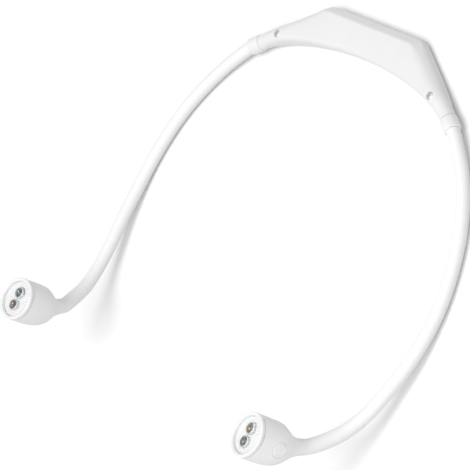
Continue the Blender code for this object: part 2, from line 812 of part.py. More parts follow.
def build_screw(name, side, looks):
    head = SCREW_HEAD_DIAMETER / 2
    shank = SCREW_SHANK_DIAMETER / 2
    high = screw_seat() + SCREW_HEAD_HEIGHT
    crown = SCREW_HEAD_HEIGHT / 4
    outline = [
        (0, high),
        (head - crown, high),
        (head, high - crown),
        (head, screw_seat()),
        (shank, screw_seat()),
        (shank, screw_tip() + shank),
        (shank / 2, screw_tip()),
        (0, screw_tip()),
    ]
    screw = turned(name, outline, looks["steel"], screw_place(side), sides=14)
    for word, size in (("long", (CROSS_LENGTH, CROSS_WIDTH)), ("short", (CROSS_WIDTH, CROSS_LENGTH))):
        slot = box(f"{name}_{word}", (*size, 2 * CROSS_DEPTH), (0, 0, high), matrix=screw_place(side))
        cut(screw, slot)
    return screw


def build_battery(looks):
    cell_size = (BATTERY_LENGTH, BATTERY_WIDTH, BATTERY_THICKNESS)
    middle = (BATTERY_X, BATTERY_Y, BATTERY_BASE + BATTERY_THICKNESS / 2)
    cell = block("battery_cell", cell_size, middle, BATTERY_ROUND, looks["cell"])
    pad_size = (BATTERY_LENGTH - 2 * PAD_MARGIN, BATTERY_WIDTH - 2 * PAD_MARGIN, PAD_THICKNESS)
    pad = box("battery_pad", pad_size, (BATTERY_X, BATTERY_Y, PAD_BASE + PAD_THICKNESS / 2), looks["foam"])
    return [cell, pad]


def build_board(looks):
    size = (BOARD_LENGTH, BOARD_WIDTH, BOARD_THICKNESS)
    board = box("control_board", size, (BOARD_X, BOARD_Y, BOARD_BASE + BOARD_THICKNESS / 2), looks["board"])
    top = BOARD_BASE + BOARD_THICKNESS
    chip_x = BOARD_X + BOARD_LENGTH / 2 - CHIP_LENGTH
    chip_height = CHIP_HEIGHT + BOARD_THICKNESS / 2
    chip_size = (CHIP_LENGTH, CHIP_WIDTH, chip_height)
    chip_z = top + CHIP_HEIGHT - chip_height / 2
    join(board, box("chip", chip_size, (chip_x, BOARD_Y + CHIP_WIDTH / 2, chip_z)))
    return board


def build_socket(looks):
    middle = socket_center()
    size = (SOCKET_WIDTH, SOCKET_DEPTH, SOCKET_HEIGHT)
    socket = block("usb_socket", size, middle, SOCKET_ROUND, looks["steel"], every_edge=False)
    front = middle.y - SOCKET_DEPTH / 2
    hollow_size = Vector((SOCKET_WIDTH, SOCKET_MOUTH_DEPTH + OVERRUN, SOCKET_HEIGHT))
    hollow_size -= Vector((2 * SOCKET_WALL, 0, 2 * SOCKET_WALL))
    hollow_y = front + SOCKET_MOUTH_DEPTH - hollow_size[1] / 2
    inner_round = SOCKET_ROUND - SOCKET_WALL
    hollow_middle = (middle.x, hollow_y, middle.z)
    hollow = block("socket_hollow", hollow_size, hollow_middle, inner_round, every_edge=False)
    cut(socket, hollow)
    tongue_size = (TONGUE_WIDTH, TONGUE_LENGTH + SOCKET_WALL, TONGUE_THICKNESS)
    tongue_y = front + SOCKET_MOUTH_DEPTH + SOCKET_WALL - tongue_size[1] / 2
    join(socket, box("tongue", tongue_size, (middle.x, tongue_y, middle.z)))
    return socket


def build_light_pipe(looks):
    frame = along(Matrix.Translation(pipe_start()), "Y")
    return cylinder("charge_light_pipe", PIPE_DIAMETER, 0, PIPE_LENGTH, looks["lens"], frame, sides=16)


def build_collar(name, side, looks):
    bore = CORE_BORE / 2
    wide = COLLAR_DIAMETER / 2
    spigot = SPIGOT_DIAMETER / 2
    high = COLLAR_LENGTH - SEAT_GAP / 2
    outline = [(bore, high)]
    outline += arc((wide - COLLAR_ROUND, high - COLLAR_ROUND), COLLAR_ROUND, 90, 0, 2)
    outline += arc((wide - COLLAR_ROUND, SEAT_GAP + COLLAR_ROUND), COLLAR_ROUND, 0, -90, 2)
    outline += [(spigot, SEAT_GAP), (spigot, -SPIGOT_LENGTH), (bore, -SPIGOT_LENGTH)]
    return turned(name, outline, looks["collar"], collar_matrix(side), sides=18, closed=True)


def lead_route(side):
    """The cable from the board to the core's inner end, past the screw post."""
    lead = LEAD_DIAMETER / 2
    board_edge = BOARD_X + side * (BOARD_LENGTH / 2 + SEAT_GAP + lead)
    start = Vector((board_edge, BOARD_Y + BOARD_WIDTH / 4, BOARD_BASE + BOARD_THICKNESS / 2))
    corners = []
    if side < 0:
        behind = BATTERY_Y + BATTERY_WIDTH / 2 + LEAD_BATTERY_GAP + lead
        corners.append(Vector((BATTERY_X + BATTERY_LENGTH / 2, behind, LEAD_HEIGHT)))
        corners.append(Vector((BATTERY_X, behind, LEAD_HEIGHT)))
        corners.append(Vector((BATTERY_X - BATTERY_LENGTH / 2, behind, LEAD_HEIGHT)))
        turn = outer_edge(lead_turn_share) - SEAM_NORMAL * (WALL + LEAD_WALL_GAP + lead)
        corners.append(mirrored((turn.x, turn.y, LEAD_HEIGHT), side))
    else:
        corners.append(Vector((board_edge + BOARD_WIDTH / 2, BOARD_Y, LEAD_HEIGHT)))
    post = Vector((SCREW_X, SCREW_Y, LEAD_HEIGHT))
    aside = post + SEAM_NORMAL * (POST_DIAMETER / 2 + LEAD_POST_GAP + lead)
    corners.append(mirrored(aside, side))
    corners.append(mirrored(ANCHOR_START - COLLAR_AXIS * (SEAT_GAP + lead), side))
    return Route(start, corners)


def build_lead(name, side, looks):
    route = lead_route(side)
    places = stations(0, route.length, LEAD_RING_STEP)
    radii = [LEAD_DIAMETER / 2] * len(places)
    return sweep(name, [route.at(place) for place in places], radii, looks["cable"], sides=6)


def build_housing(looks):
    pieces = [build_back_cover(looks), build_front_cover(looks), *build_battery(looks)]
    pieces += [build_board(looks), build_socket(looks), build_light_pipe(looks)]
    for word, side in SIDES.items():
        pieces.append(build_screw(f"{word}_cover_screw", side, looks))
        pieces.append(build_collar(f"{word}_collar", side, looks))
        pieces.append(build_lead(f"{word}_lead", side, looks))
    return pieces


def arm_places(route):
    """Distances along the route: collar end, the four bending places and the neck of the boot."""
    low = route.corner_at[0]
    high = route.corner_at[len(arm_route_shares) + 1]
    bend_shares = (root_place_share, middle_place_share, wrist_place_share)
    bends = [low + share * (high - low) for share in bend_shares]
    return [low, *bends, high - NECK_FLEX_HALF, high]


def arm_radius(route):
    """The arm's radius by distance: even, then growing a little into the boot's neck."""
    neck_end = route.corner_at[len(arm_route_shares) + 1]

    def radius_at(distance):
        grown = ease((distance - neck_end + NECK_TAPER_LENGTH) / NECK_TAPER_LENGTH)
        return (ARM_DIAMETER + (NECK_DIAMETER - ARM_DIAMETER) * grown) / 2

    return radius_at


def build_arm(word, side, looks):
    """The pieces of one arm by the body that carries them."""
    route = arm_route(side)
    radius_at = arm_radius(route)
    low, root, middle, wrist, neck, high = arm_places(route)
    skin = looks["silicone"]

    def skin_piece(name, start, end):
        return sleeve(f"{word}_{name}", route, start, end, radius_at, skin)

    def core_piece(name, start, end):
        return core(f"{word}_{name}", route, start + SEAT_GAP / 2, end - SEAT_GAP / 2, looks["core"])

    anchor = core_piece("anchor_core", 0, root)
    ferrule_frame = collar_matrix(side) @ Matrix.Translation((0, 0, -route.straight + COLLAR_LENGTH))
    ferrule = cylinder(f"{word}_ferrule", FERRULE_DIAMETER, SEAT_GAP, FERRULE_LENGTH, matrix=ferrule_frame)
    join(anchor, ferrule)
    core_top = route.length - LAMP_BODY_LENGTH + 2 * LAMP_BODY_FLOOR
    return {
        "base": [anchor, skin_piece("root_flex", low, root + ROOT_FLEX_HALF)],
        "near_arm": [
            skin_piece("near_sleeve", root + ROOT_FLEX_HALF, middle - FLEX_HALF),
            core_piece("near_core", root, middle),
            skin_piece("middle_flex", middle - FLEX_HALF, middle + FLEX_HALF),
        ],
        "far_arm": [
            skin_piece("far_sleeve", middle + FLEX_HALF, wrist - FLEX_HALF),
            core_piece("far_core", middle, wrist),
            skin_piece("wrist_flex", wrist - FLEX_HALF, wrist + FLEX_HALF),
        ],
        "link": [
            skin_piece("link_sleeve", wrist + FLEX_HALF, neck - NECK_FLEX_HALF),
            core_piece("link_core", wrist, neck),
            skin_piece("neck_flex", neck - NECK_FLEX_HALF, high),
        ],
        "head": [core_piece("head_core", neck, core_top)],
    }


def boot_solid(name, side, route, look=None):
    """The bell from behind the ring to the neck, as one solid."""
    toward_front = head_axis(side)
    front_share = boot_outline_shares[0][0]
    points = end_pair(route, route.corner_at[len(arm_route_shares) + 1], 1)
    radii = [NECK_DIAMETER / 2] * 2
    for depth_share, radius_share, _ in reversed(boot_outline_shares):
        points.append(boot_middle(side, depth_share))
        radii.append(BOOT_DIAMETER / 2 * radius_share)
    points.append(boot_middle(side, front_share) + toward_front * TOUCH_STEP)
    radii.append(radii[-1])
    return sweep(name, points, radii, look, sides=18)


def button_frame(side):
    """Local Z leaves the head sideways through the middle of the button."""
    return along(head_matrix(side) @ Matrix.Translation((0, 0, -BUTTON_DEPTH)), "X")


def build_boot(word, side, route, looks):
    boot = boot_solid(f"{word}_boot", side, route, looks["silicone"])
    frame = head_matrix(side)
    skirt_room = RING_SKIRT_DIAMETER / 2 + SEAT_GAP
    outline = [
        (0, 0),
        (skirt_room, 0),
        (skirt_room, -LAMP_BODY_SHOULDER - SEAT_GAP),
        (LAMP_BODY_STEP / 2 + SEAT_GAP, -LAMP_BODY_SHOULDER - SEAT_GAP),
        (LAMP_BODY_BACK / 2 + SEAT_GAP, -LAMP_BODY_LENGTH - SEAT_GAP),
        (0, -LAMP_BODY_LENGTH - SEAT_GAP),
    ]
    cut(boot, turned(f"{word}_boot_cavity", outline, matrix=frame, sides=20))
    cut(boot, core_bore(f"{word}_boot_bore", route, OVERRUN))
    hole_diameter = BUTTON_DIAMETER + 2 * SEAT_GAP
    hole = cylinder(
        f"{word}_button_hole", hole_diameter, LAMP_BODY_BACK / 2, BOOT_DIAMETER, matrix=button_frame(side)
    )
    cut(boot, hole)
    return boot


def core_bore(name, route, start_before):
    """A cutter round the core, from before the boot's neck into the lamp body."""
    neck_end = route.corner_at[len(arm_route_shares) + 1]
    front_end = route.length - LAMP_BODY_LENGTH + 2 * LAMP_BODY_FLOOR + OVERRUN / 2
    places = stations(neck_end - start_before, front_end, SLEEVE_RING_STEP)
    radii = [CORE_BORE / 2] * len(places)
    return sweep(name, [route.at(place) for place in places], radii, sides=12)


def build_button(word, side, route, looks):
    button = boot_solid(f"{word}_power_button", side, route, looks["silicone"])
    plug = cylinder(
        f"{word}_button_plug", BUTTON_DIAMETER, BUTTON_SEAT, BOOT_DIAMETER, matrix=button_frame(side)
    )
    cut(button, plug, "INTERSECT")
    return button


def build_ring(word, side, looks):
    wide = RING_DIAMETER / 2
    bore = RING_BORE / 2
    skirt = RING_SKIRT_DIAMETER / 2
    outline = [(bore, 0)]
    outline += arc((wide - RING_ROUND, -RING_ROUND), RING_ROUND, 90, 0, 3)
    outline += [(wide, -RING_HEIGHT), (skirt, -RING_HEIGHT)]
    outline += [(skirt, -RING_SKIRT_DEPTH), (bore, -RING_SKIRT_DEPTH)]
    return turned(f"{word}_bezel_ring", outline, looks["ring"], head_matrix(side), sides=28, closed=True)


def cup_frames(side):
    """Frames of the two cups, by the light that each holds."""
    frame = head_matrix(side)
    return {
        "warm": frame @ Matrix.Translation((0, CUP_SPACING / 2, 0)),
        "cool": frame @ Matrix.Translation((0, -CUP_SPACING / 2, 0)),
    }


def build_lens(word, side, looks):
    lens_back = -LENS_RECESS - LENS_THICKNESS
    wide = LENS_DIAMETER / 2
    outline = [(0, -LENS_RECESS), (wide, -LENS_RECESS), (wide, lens_back), (0, lens_back)]
    lens = turned(f"{word}_lens", outline, looks["lens"], head_matrix(side), sides=24)
    cup_low = -LENS_RECESS - LENS_THICKNESS / 2
    cup_high = -LENS_RECESS + CUP_RISE
    for light, frame in cup_frames(side).items():
        join(lens, cylinder(f"{word}_{light}_cup", CUP_DIAMETER, cup_low, cup_high, matrix=frame, sides=14))
    bore_low = lens_back - OVERRUN
    for light, frame in cup_frames(side).items():
        cut(lens, cylinder(f"{word}_{light}_bore", CUP_BORE, bore_low, OVERRUN, matrix=frame, sides=14))
    return lens


def build_lamp_body(word, side, route, looks):
    rim = RING_BORE / 2 - SEAT_GAP
    rim_top = -LENS_RECESS - LENS_THICKNESS - SEAT_GAP
    wide = LAMP_BODY_WIDE / 2
    mouth = LAMP_BODY_MOUTH / 2
    bore = LAMP_BODY_BORE / 2
    step = -RING_SKIRT_DEPTH - SEAT_GAP
    ledge = -LED_BOARD_DEPTH - LED_BOARD_THICKNESS - SEAT_GAP
    floor = -LAMP_BODY_LENGTH + LAMP_BODY_FLOOR
    outline = [
        (0, floor),
        (bore, floor),
        (bore, ledge),
        (mouth, ledge),
        (mouth, rim_top),
        (rim, rim_top),
        (rim, step),
        (wide, step),
        (wide, -LAMP_BODY_SHOULDER),
        (LAMP_BODY_STEP / 2, -LAMP_BODY_SHOULDER),
        (LAMP_BODY_BACK / 2, -LAMP_BODY_LENGTH),
        (0, -LAMP_BODY_LENGTH),
    ]
    body = turned(f"{word}_lamp_body", outline, looks["inner"], head_matrix(side), sides=18)
    cut(body, core_bore(f"{word}_body_bore", route, OVERRUN))
    room = SWITCH_SIZE + 2 * SEAT_GAP
    pocket_low = SWITCH_BASE - SEAT_GAP
    pocket_size = (room, room, RING_DIAMETER / 2 - pocket_low)
    middle = (0, 0, pocket_low + pocket_size[2] / 2)
    cut(body, box(f"{word}_switch_pocket", pocket_size, middle, matrix=button_frame(side)))
    return body


def build_led(name, frame, look):
    radius = LED_DIAMETER / 2
    base = -LED_BOARD_DEPTH + SEAT_GAP
    top = base + LED_HEIGHT
    outline = [(0, top)]
    for step in range(1, 4):
        angle = math.pi / 2 * (1 - step / 3)
        outline.append((radius * math.cos(angle), top - LED_DOME + LED_DOME * math.sin(angle)))
    outline += [(radius, base), (0, base)]
    return turned(name, outline, look, frame, sides=12)


def build_head(word, side, looks):
    """The pieces that ride on the head, and the button apart."""
    route = arm_route(side)
    frame = head_matrix(side)
    board_top = -LED_BOARD_DEPTH
    board_low = board_top - LED_BOARD_THICKNESS
    board = cylinder(f"{word}_led_board", LED_BOARD_DIAMETER, board_low, board_top, looks["board"], frame)
    size = (SWITCH_SIZE, SWITCH_SIZE, SWITCH_HEIGHT)
    middle = (0, 0, SWITCH_BASE + SWITCH_HEIGHT / 2)
    switch = box(f"{word}_tact_switch", size, middle, looks["inner"], button_frame(side))
    stem_low = SWITCH_BASE + SWITCH_HEIGHT / 2
    stem_top = SWITCH_BASE + SWITCH_HEIGHT + SWITCH_STEM_HEIGHT
    frame_out = button_frame(side)
    stem = cylinder(f"{word}_switch_stem", SWITCH_STEM_DIAMETER, stem_low, stem_top, matrix=frame_out, sides=16)
    join(switch, stem)
    pieces = [build_boot(word, side, route, looks), build_ring(word, side, looks)]
    pieces.append(build_lens(word, side, looks))
    pieces += [build_lamp_body(word, side, route, looks), board, switch]
    for light, cup in cup_frames(side).items():
        pieces.append(build_led(f"{word}_{light}_led", cup, looks[light]))
    return pieces, build_button(word, side, route, looks)


def add_joint(name, place, carrier):
    """An empty on a joint, carried by the one before it."""
    joint = bpy.data.objects.new(name, None)
    new_collection(PARTS).objects.link(joint)
    joint.empty_display_size = ARM_DIAMETER
    joint.matrix_world = Matrix.Translation(place)
    bpy.context.view_layer.update()
    carry(carrier, [joint])
    return joint


def carry(carrier, pieces):
    """Parents pieces where they stand."""
    for piece in pieces:
        piece.parent = carrier
        piece.matrix_parent_inverse = carrier.matrix_world.inverted()


def main():
    clear_scene()
    looks = materials()
    base = bpy.data.objects.new("base_frame", None)
    new_collection(PARTS).objects.link(base)
    carry(base, build_housing(looks))
    for word, side in SIDES.items():
        route = arm_route(side)
        _, root, middle, wrist, neck, _ = arm_places(route)
        arm = build_arm(word, side, looks)
        carry(base, arm["base"])
        carrier = base
        for joint_name, place, body in (
            ("root_spread", root, "near_arm"),
            ("middle_lift", middle, "far_arm"),
            ("wrist_pitch", wrist, "link"),
            ("neck_yaw", neck, "head"),
        ):
            carrier = add_joint(f"{word}_{joint_name}", route.at(place), carrier)
            carry(carrier, arm[body])
        pieces, button = build_head(word, side, looks)
        carry(carrier, pieces)
        press = add_joint(f"{word}_power_press", button_frame(side) @ Vector((0, 0, BUTTON_SEAT)), carrier)
        carry(press, [button])


main()
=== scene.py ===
# %% [markdown]
# # Neck reading light
#
# A slim bow of white plastic rests behind the neck. A gooseneck arm in a silicone skin leaves each
# end, runs forward over a shoulder and turns up into a bell-shaped head with a cool and a warm lamp.
# This lesson dresses the moving frame of the light, which another program has already worked out,
# with finely shaped pieces and their finishes.
#
# The frame comes in first. It gives the bodies that move, the pieces that ride on them and the joints
# between them. It is never moved or reshaped here: a piece that looks too coarse is hidden and a finer
# one is put in its place.

# %% Load the fixed frame
import json
import math

import bmesh
import bpy
from mathutils import Matrix, Vector

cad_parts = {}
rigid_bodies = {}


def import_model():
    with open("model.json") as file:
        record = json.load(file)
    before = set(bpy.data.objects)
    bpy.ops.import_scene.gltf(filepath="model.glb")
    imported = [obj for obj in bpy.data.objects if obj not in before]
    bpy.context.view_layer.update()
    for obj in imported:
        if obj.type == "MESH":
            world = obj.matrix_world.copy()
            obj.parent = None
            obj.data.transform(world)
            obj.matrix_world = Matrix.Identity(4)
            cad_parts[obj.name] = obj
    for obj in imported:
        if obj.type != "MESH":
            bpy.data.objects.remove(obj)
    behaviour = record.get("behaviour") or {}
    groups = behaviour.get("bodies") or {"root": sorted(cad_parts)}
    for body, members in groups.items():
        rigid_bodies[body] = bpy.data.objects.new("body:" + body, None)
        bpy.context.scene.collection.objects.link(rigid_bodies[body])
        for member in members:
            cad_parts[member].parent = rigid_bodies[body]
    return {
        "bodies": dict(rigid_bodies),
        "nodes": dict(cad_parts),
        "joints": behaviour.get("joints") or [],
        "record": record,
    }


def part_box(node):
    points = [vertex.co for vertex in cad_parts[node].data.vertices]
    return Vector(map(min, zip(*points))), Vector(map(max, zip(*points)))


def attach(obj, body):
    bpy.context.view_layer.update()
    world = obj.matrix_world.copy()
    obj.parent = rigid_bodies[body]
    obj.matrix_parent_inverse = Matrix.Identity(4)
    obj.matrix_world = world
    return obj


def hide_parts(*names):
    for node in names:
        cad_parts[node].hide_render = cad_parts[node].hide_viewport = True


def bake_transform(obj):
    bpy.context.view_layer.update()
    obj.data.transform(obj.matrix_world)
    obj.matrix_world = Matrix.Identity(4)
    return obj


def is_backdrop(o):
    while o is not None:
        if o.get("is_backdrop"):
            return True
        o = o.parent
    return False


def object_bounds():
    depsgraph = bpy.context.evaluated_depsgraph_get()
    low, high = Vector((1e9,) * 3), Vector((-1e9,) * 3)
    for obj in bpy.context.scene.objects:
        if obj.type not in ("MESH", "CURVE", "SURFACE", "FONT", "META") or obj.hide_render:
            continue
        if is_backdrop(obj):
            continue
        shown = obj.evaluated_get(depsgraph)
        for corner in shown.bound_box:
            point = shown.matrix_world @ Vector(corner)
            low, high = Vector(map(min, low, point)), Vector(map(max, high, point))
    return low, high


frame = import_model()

cad_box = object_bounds()
for word in ("nodes", "bodies", "joints"):
    print("the frame has", len(frame[word]), word)

# %% [markdown]
# ## Camera
#
# The object is small, so a long lens from about 1.3 m away flattens it in the way of a catalogue
# picture. The camera looks down from one side of the light, and it is rolled about its own axis, so
# that the rear housing ends up at the top right of the picture. A camera's own axes are the plainest
# way to write that down: to the right of the picture, up the picture, and back towards the lens.

# %% Camera
MM = 0.001
camera_place = Vector((1.00485, -0.05329, 0.88435))
picture_right = Vector((0.578754, 0.411102, -0.704300))
picture_up = Vector((-0.292457, 0.910823, 0.291325))
picture_back = picture_right.cross(picture_up)

camera_data = bpy.data.cameras.new("camera")
camera_data.sensor_width = 36
camera_data.lens = 229.8
camera_data.clip_start = 0.05
camera_data.clip_end = 20
camera = bpy.data.objects.new("camera", camera_data)
bpy.context.scene.collection.objects.link(camera)
axes = Matrix((picture_right, picture_up, picture_back)).transposed().to_4x4()
camera.matrix_world = Matrix.Translation(camera_place) @ axes
bpy.context.scene.camera = camera
bpy.context.scene.view_settings.view_transform = "Standard"
print("camera is", round(camera_place.length, 3), "m from the middle of the housing")

# %% [markdown]
# ## Selecting and placing
#
# Every operator of Blender works on what is selected, so each step begins by selecting one thing and
# nothing else. The frame's own pieces come in selected, which makes this matter from the first step.
# A piece that is done keeps its place in its mesh, and the object itself stays at the origin.

# %% Selecting and placing one piece
def deselect_all():
    """Leaves nothing selected."""
    if bpy.context.mode != "OBJECT":
        bpy.ops.object.mode_set(mode="OBJECT")
    bpy.ops.object.select_all(action="DESELECT")


def take(piece):
    """Makes one piece the only selected and the active one."""
    deselect_all()
    piece.select_set(True)
    bpy.context.view_layer.objects.active = piece


def settle(piece, matrix=None):
    """Puts a piece in its place, with the place in its mesh and the object itself at the origin."""
    if matrix is not None:
        piece.matrix_world = matrix @ piece.matrix_world
    take(piece)
    bpy.ops.object.transform_apply(location=True, rotation=True, scale=True)
    return piece


# %% [markdown]
# ## Floor, backdrop and light
#
# The picture is a plain cut-out on white. A white that comes from more light would burn out the pale
# plastic, so the floor and the world are white only for rays that come straight from the camera, or
# that a shiny or clear surface sends on, and merely pale for the light that falls on the object. The
# floor still takes the object's soft shadow.

# %% White to look at, pale for the light
WHITE = (1, 1, 1, 1)
FLOOR_TONE = (0.64, 0.64, 0.64, 1)
SKY_TONE = (0.52, 0.52, 0.525, 1)


def mixed(tree, factor, first, second):
    """Two colours mixed by a factor; each may be a socket or a plain colour."""
    node = tree.nodes.new("ShaderNodeMix")
    node.data_type = "RGBA"
    tree.links.new(factor, node.inputs["Factor"])
    for label, value in (("A", first), ("B", second)):
        if isinstance(value, tuple):
            node.inputs[label].default_value = value
        else:
            tree.links.new(value, node.inputs[label])
    return node.outputs["Result"]


def seen_rays(tree):
    """1 for rays that come from the camera, a reflection or glass, and 0 for all others."""
    path = tree.nodes.new("ShaderNodeLightPath")
    share = path.outputs["Is Camera Ray"]
    for kind in ("Is Glossy Ray", "Is Transmission Ray"):
        larger = tree.nodes.new("ShaderNodeMath")
        larger.operation = "MAXIMUM"
        tree.links.new(share, larger.inputs[0])
        tree.links.new(path.outputs[kind], larger.inputs[1])
        share = larger.outputs[0]
    return share


def new_material(name):
    """A material with nodes, its tree and its shader."""
    material = bpy.data.materials.new(name)
    material.use_nodes = True
    return material, material.node_tree, material.node_tree.nodes["Principled BSDF"]


# %% Floor and world
pale_floor, tree, paper = new_material("pale_floor")
paper.inputs["Roughness"].default_value = 0.9
paper.inputs["Specular IOR Level"].default_value = 0.1
tree.links.new(mixed(tree, seen_rays(tree), FLOOR_TONE, WHITE), paper.inputs["Base Color"])

deselect_all()
bpy.ops.mesh.primitive_plane_add(size=12, location=(0, 0, -0.2 * MM))
floor = bpy.context.object
floor.name = "floor"
floor.data.materials.append(pale_floor)
settle(floor)
floor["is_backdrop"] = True

world = bpy.data.worlds.new("studio")
bpy.context.scene.world = world
world.use_nodes = True
tree = world.node_tree
sky = tree.nodes["Background"]
sky.inputs["Strength"].default_value = 1
tree.links.new(mixed(tree, seen_rays(tree), SKY_TONE, WHITE), sky.inputs["Color"])
print("floor at", floor.data.vertices[0].co.z, "m")


# %% Lamps
def soft_lamp(name, place, target, size, power):
    """A large square lamp that looks at a target."""
    data = bpy.data.lights.new(name, "AREA")
    data.shape = "SQUARE"
    data.size = size
    data.energy = power
    lamp = bpy.data.objects.new(name, data)
    bpy.context.scene.collection.objects.link(lamp)
    lamp.location = place
    lamp.rotation_euler = (Vector(target) - Vector(place)).to_track_quat("-Z", "Y").to_euler()
    print(name, "gives", power, "W")


OBJECT_MIDDLE = (0.0, -0.08, 0.02)
NEAR_HEAD = (0.09, -0.17, 0.03)
soft_lamp("overhead", (0.12, -0.30, 1.30), OBJECT_MIDDLE, 0.8, 9.2)
soft_lamp("front_fill", (0.85, -0.40, 0.85), OBJECT_MIDDLE, 0.7, 2.7)
soft_lamp("low_card", (0.42, -0.22, 0.16), NEAR_HEAD, 0.25, 0.09)

# %% [markdown]
# ## Finishes that several materials share
#
# The whole light is white, so what tells its materials apart is small: a fine moulded grain, a faint
# drift in tone, and edges painted a little lighter than hollows, as a painted highlight and painted
# shade. Each of those effects is a node group with its own inputs and outputs. It is built once, and
# every material places it with its own values. All of them read the piece's own coordinates, so they
# stay put when the light is posed.

# %% Helpers for node groups
FLOAT = "NodeSocketFloat"
COLOUR = "NodeSocketColor"


def group_of(name, inputs, outputs):
    """A new node group, its sockets, and its two end nodes."""
    group = bpy.data.node_groups.new(name, "ShaderNodeTree")
    for label, kind, value in inputs:
        socket = group.interface.new_socket(label, in_out="INPUT", socket_type=kind)
        socket.default_value = value
    for label, kind in outputs:
        group.interface.new_socket(label, in_out="OUTPUT", socket_type=kind)
    return group, group.nodes.new("NodeGroupInput"), group.nodes.new("NodeGroupOutput")


def noise(tree, scale, detail, roughness=0.5):
    """A noise in the piece's own coordinates."""
    where = tree.nodes.new("ShaderNodeTexCoord")
    node = tree.nodes.new("ShaderNodeTexNoise")
    node.inputs["Scale"].default_value = scale
    node.inputs["Detail"].default_value = detail
    node.inputs["Roughness"].default_value = roughness
    tree.links.new(where.outputs["Object"], node.inputs["Vector"])
    return node


def ranged(tree, source, low, high, from_low, from_high):
    """A value moved from one range to another; the new range's ends may be sockets."""
    node = tree.nodes.new("ShaderNodeMapRange")
    node.inputs["From Min"].default_value = from_low
    node.inputs["From Max"].default_value = from_high
    for label, value in (("To Min", low), ("To Max", high)):
        if isinstance(value, float):
            node.inputs[label].default_value = value
        else:
            tree.links.new(value, node.inputs[label])
    tree.links.new(source, node.inputs["Value"])
    return node.outputs["Result"]


# %% Group: fine grain
fine_grain, given, made = group_of(
    "fine_grain",
    [("Scale", FLOAT, 4000.0), ("Smooth Roughness", FLOAT, 0.35), ("Rough Roughness", FLOAT, 0.45)],
    [("Height", FLOAT), ("Roughness", FLOAT)],
)
pores = noise(fine_grain, 4000, 3, 0.55)
fine_grain.links.new(given.outputs["Scale"], pores.inputs["Scale"])
fine_grain.links.new(pores.outputs["Fac"], made.inputs["Height"])
patches = noise(fine_grain, 90, 4).outputs["Fac"]
smooth_end, rough_end = given.outputs["Smooth Roughness"], given.outputs["Rough Roughness"]
sheen = ranged(fine_grain, patches, smooth_end, rough_end, 0.3, 0.7)
fine_grain.links.new(sheen, made.inputs["Roughness"])
print("group", fine_grain.name)

# %% [markdown]
# The second group colours a surface. A slow noise drifts between two close tones, as moulded plastic
# and silicone do, and the pointiness of the mesh paints the edges a little lighter, as a painted
# highlight, and the hollows faintly grey, as painted shade.

# %% Group: drifting tone with a painted highlight on edges and painted shade in hollows
tone_with_painted_light, given, made = group_of(
    "tone_with_painted_light",
    [
        ("Tone", COLOUR, (0.8, 0.8, 0.8, 1)),
        ("Second Tone", COLOUR, (0.78, 0.78, 0.78, 1)),
        ("Edge", COLOUR, (0.86, 0.86, 0.86, 1)),
        ("Hollow", COLOUR, (0.6, 0.6, 0.6, 1)),
        ("Drift Scale", FLOAT, 60.0),
        ("Edge Amount", FLOAT, 0.5),
        ("Hollow Amount", FLOAT, 0.5),
    ],
    [("Color", COLOUR)],
)
drift = noise(tone_with_painted_light, 60, 3)
tone_with_painted_light.links.new(given.outputs["Drift Scale"], drift.inputs["Scale"])
drift_share = ranged(tone_with_painted_light, drift.outputs["Fac"], 0.0, 1.0, 0.35, 0.65)
tone = mixed(tone_with_painted_light, drift_share, given.outputs["Tone"], given.outputs["Second Tone"])
# Pointiness paints a highlight on edges and shade in hollows
bend = tone_with_painted_light.nodes.new("ShaderNodeNewGeometry").outputs["Pointiness"]
edge_share = ranged(tone_with_painted_light, bend, 0.0, given.outputs["Edge Amount"], 0.52, 0.60)
tone = mixed(tone_with_painted_light, edge_share, tone, given.outputs["Edge"])
hollow_share = ranged(tone_with_painted_light, bend, given.outputs["Hollow Amount"], 0.0, 0.40, 0.48)
tone = mixed(tone_with_painted_light, hollow_share, tone, given.outputs["Hollow"])
tone_with_painted_light.links.new(tone, made.inputs["Color"])
print("group", tone_with_painted_light.name)

# %% [markdown]
# Clear pieces live from something else: fine ripples left by the mould, which bend what is seen
# through them, and a slight cloudiness. The third group gives both, for every clear or milky plastic.

# %% Group: ripples of the mould
mould_ripple, given, made = group_of(
    "mould_ripple",
    [
        ("Tone", COLOUR, (0.97, 0.97, 0.97, 1)),
        ("Second Tone", COLOUR, (0.93, 0.93, 0.93, 1)),
        ("Smooth Roughness", FLOAT, 0.05),
        ("Rough Roughness", FLOAT, 0.1),
    ],
    [("Color", COLOUR), ("Roughness", FLOAT), ("Height", FLOAT)],
)
clouds = noise(mould_ripple, 700, 2).outputs["Fac"]
tone = mixed(mould_ripple, clouds, given.outputs["Tone"], given.outputs["Second Tone"])
mould_ripple.links.new(tone, made.inputs["Color"])
smooth_end, rough_end = given.outputs["Smooth Roughness"], given.outputs["Rough Roughness"]
sheen = ranged(mould_ripple, clouds, smooth_end, rough_end, 0.3, 0.7)
mould_ripple.links.new(sheen, made.inputs["Roughness"])
mould_ripple.links.new(noise(mould_ripple, 350, 2).outputs["Fac"], made.inputs["Height"])
print("group", mould_ripple.name)

# %% [markdown]
# ## Materials
#
# One function sets up a material from the first two groups, because nearly all finishes here are the
# same few ideas with other numbers: how light, how drifting, how coarse, how shiny. What is constant
# over a surface, such as sheen or a coat, goes straight onto the shader's own socket.

# %% A material from tone and grain
# Edges are painted lighter by this gain as a painted highlight, and hollows darker by this share as
# painted shade
PAINTED_HIGHLIGHT_GAIN = 1.06
PAINTED_SHADE_TONE = 0.8
EDGE_AMOUNT = HOLLOW_AMOUNT = 0.5
GRAIN_STRENGTH = 0.6


def placed(tree, group, values):
    """A node group in a material, with the material's own values."""
    node = tree.nodes.new("ShaderNodeGroup")
    node.node_tree = group
    for label, value in values.items():
        node.inputs[label].default_value = value
    return node


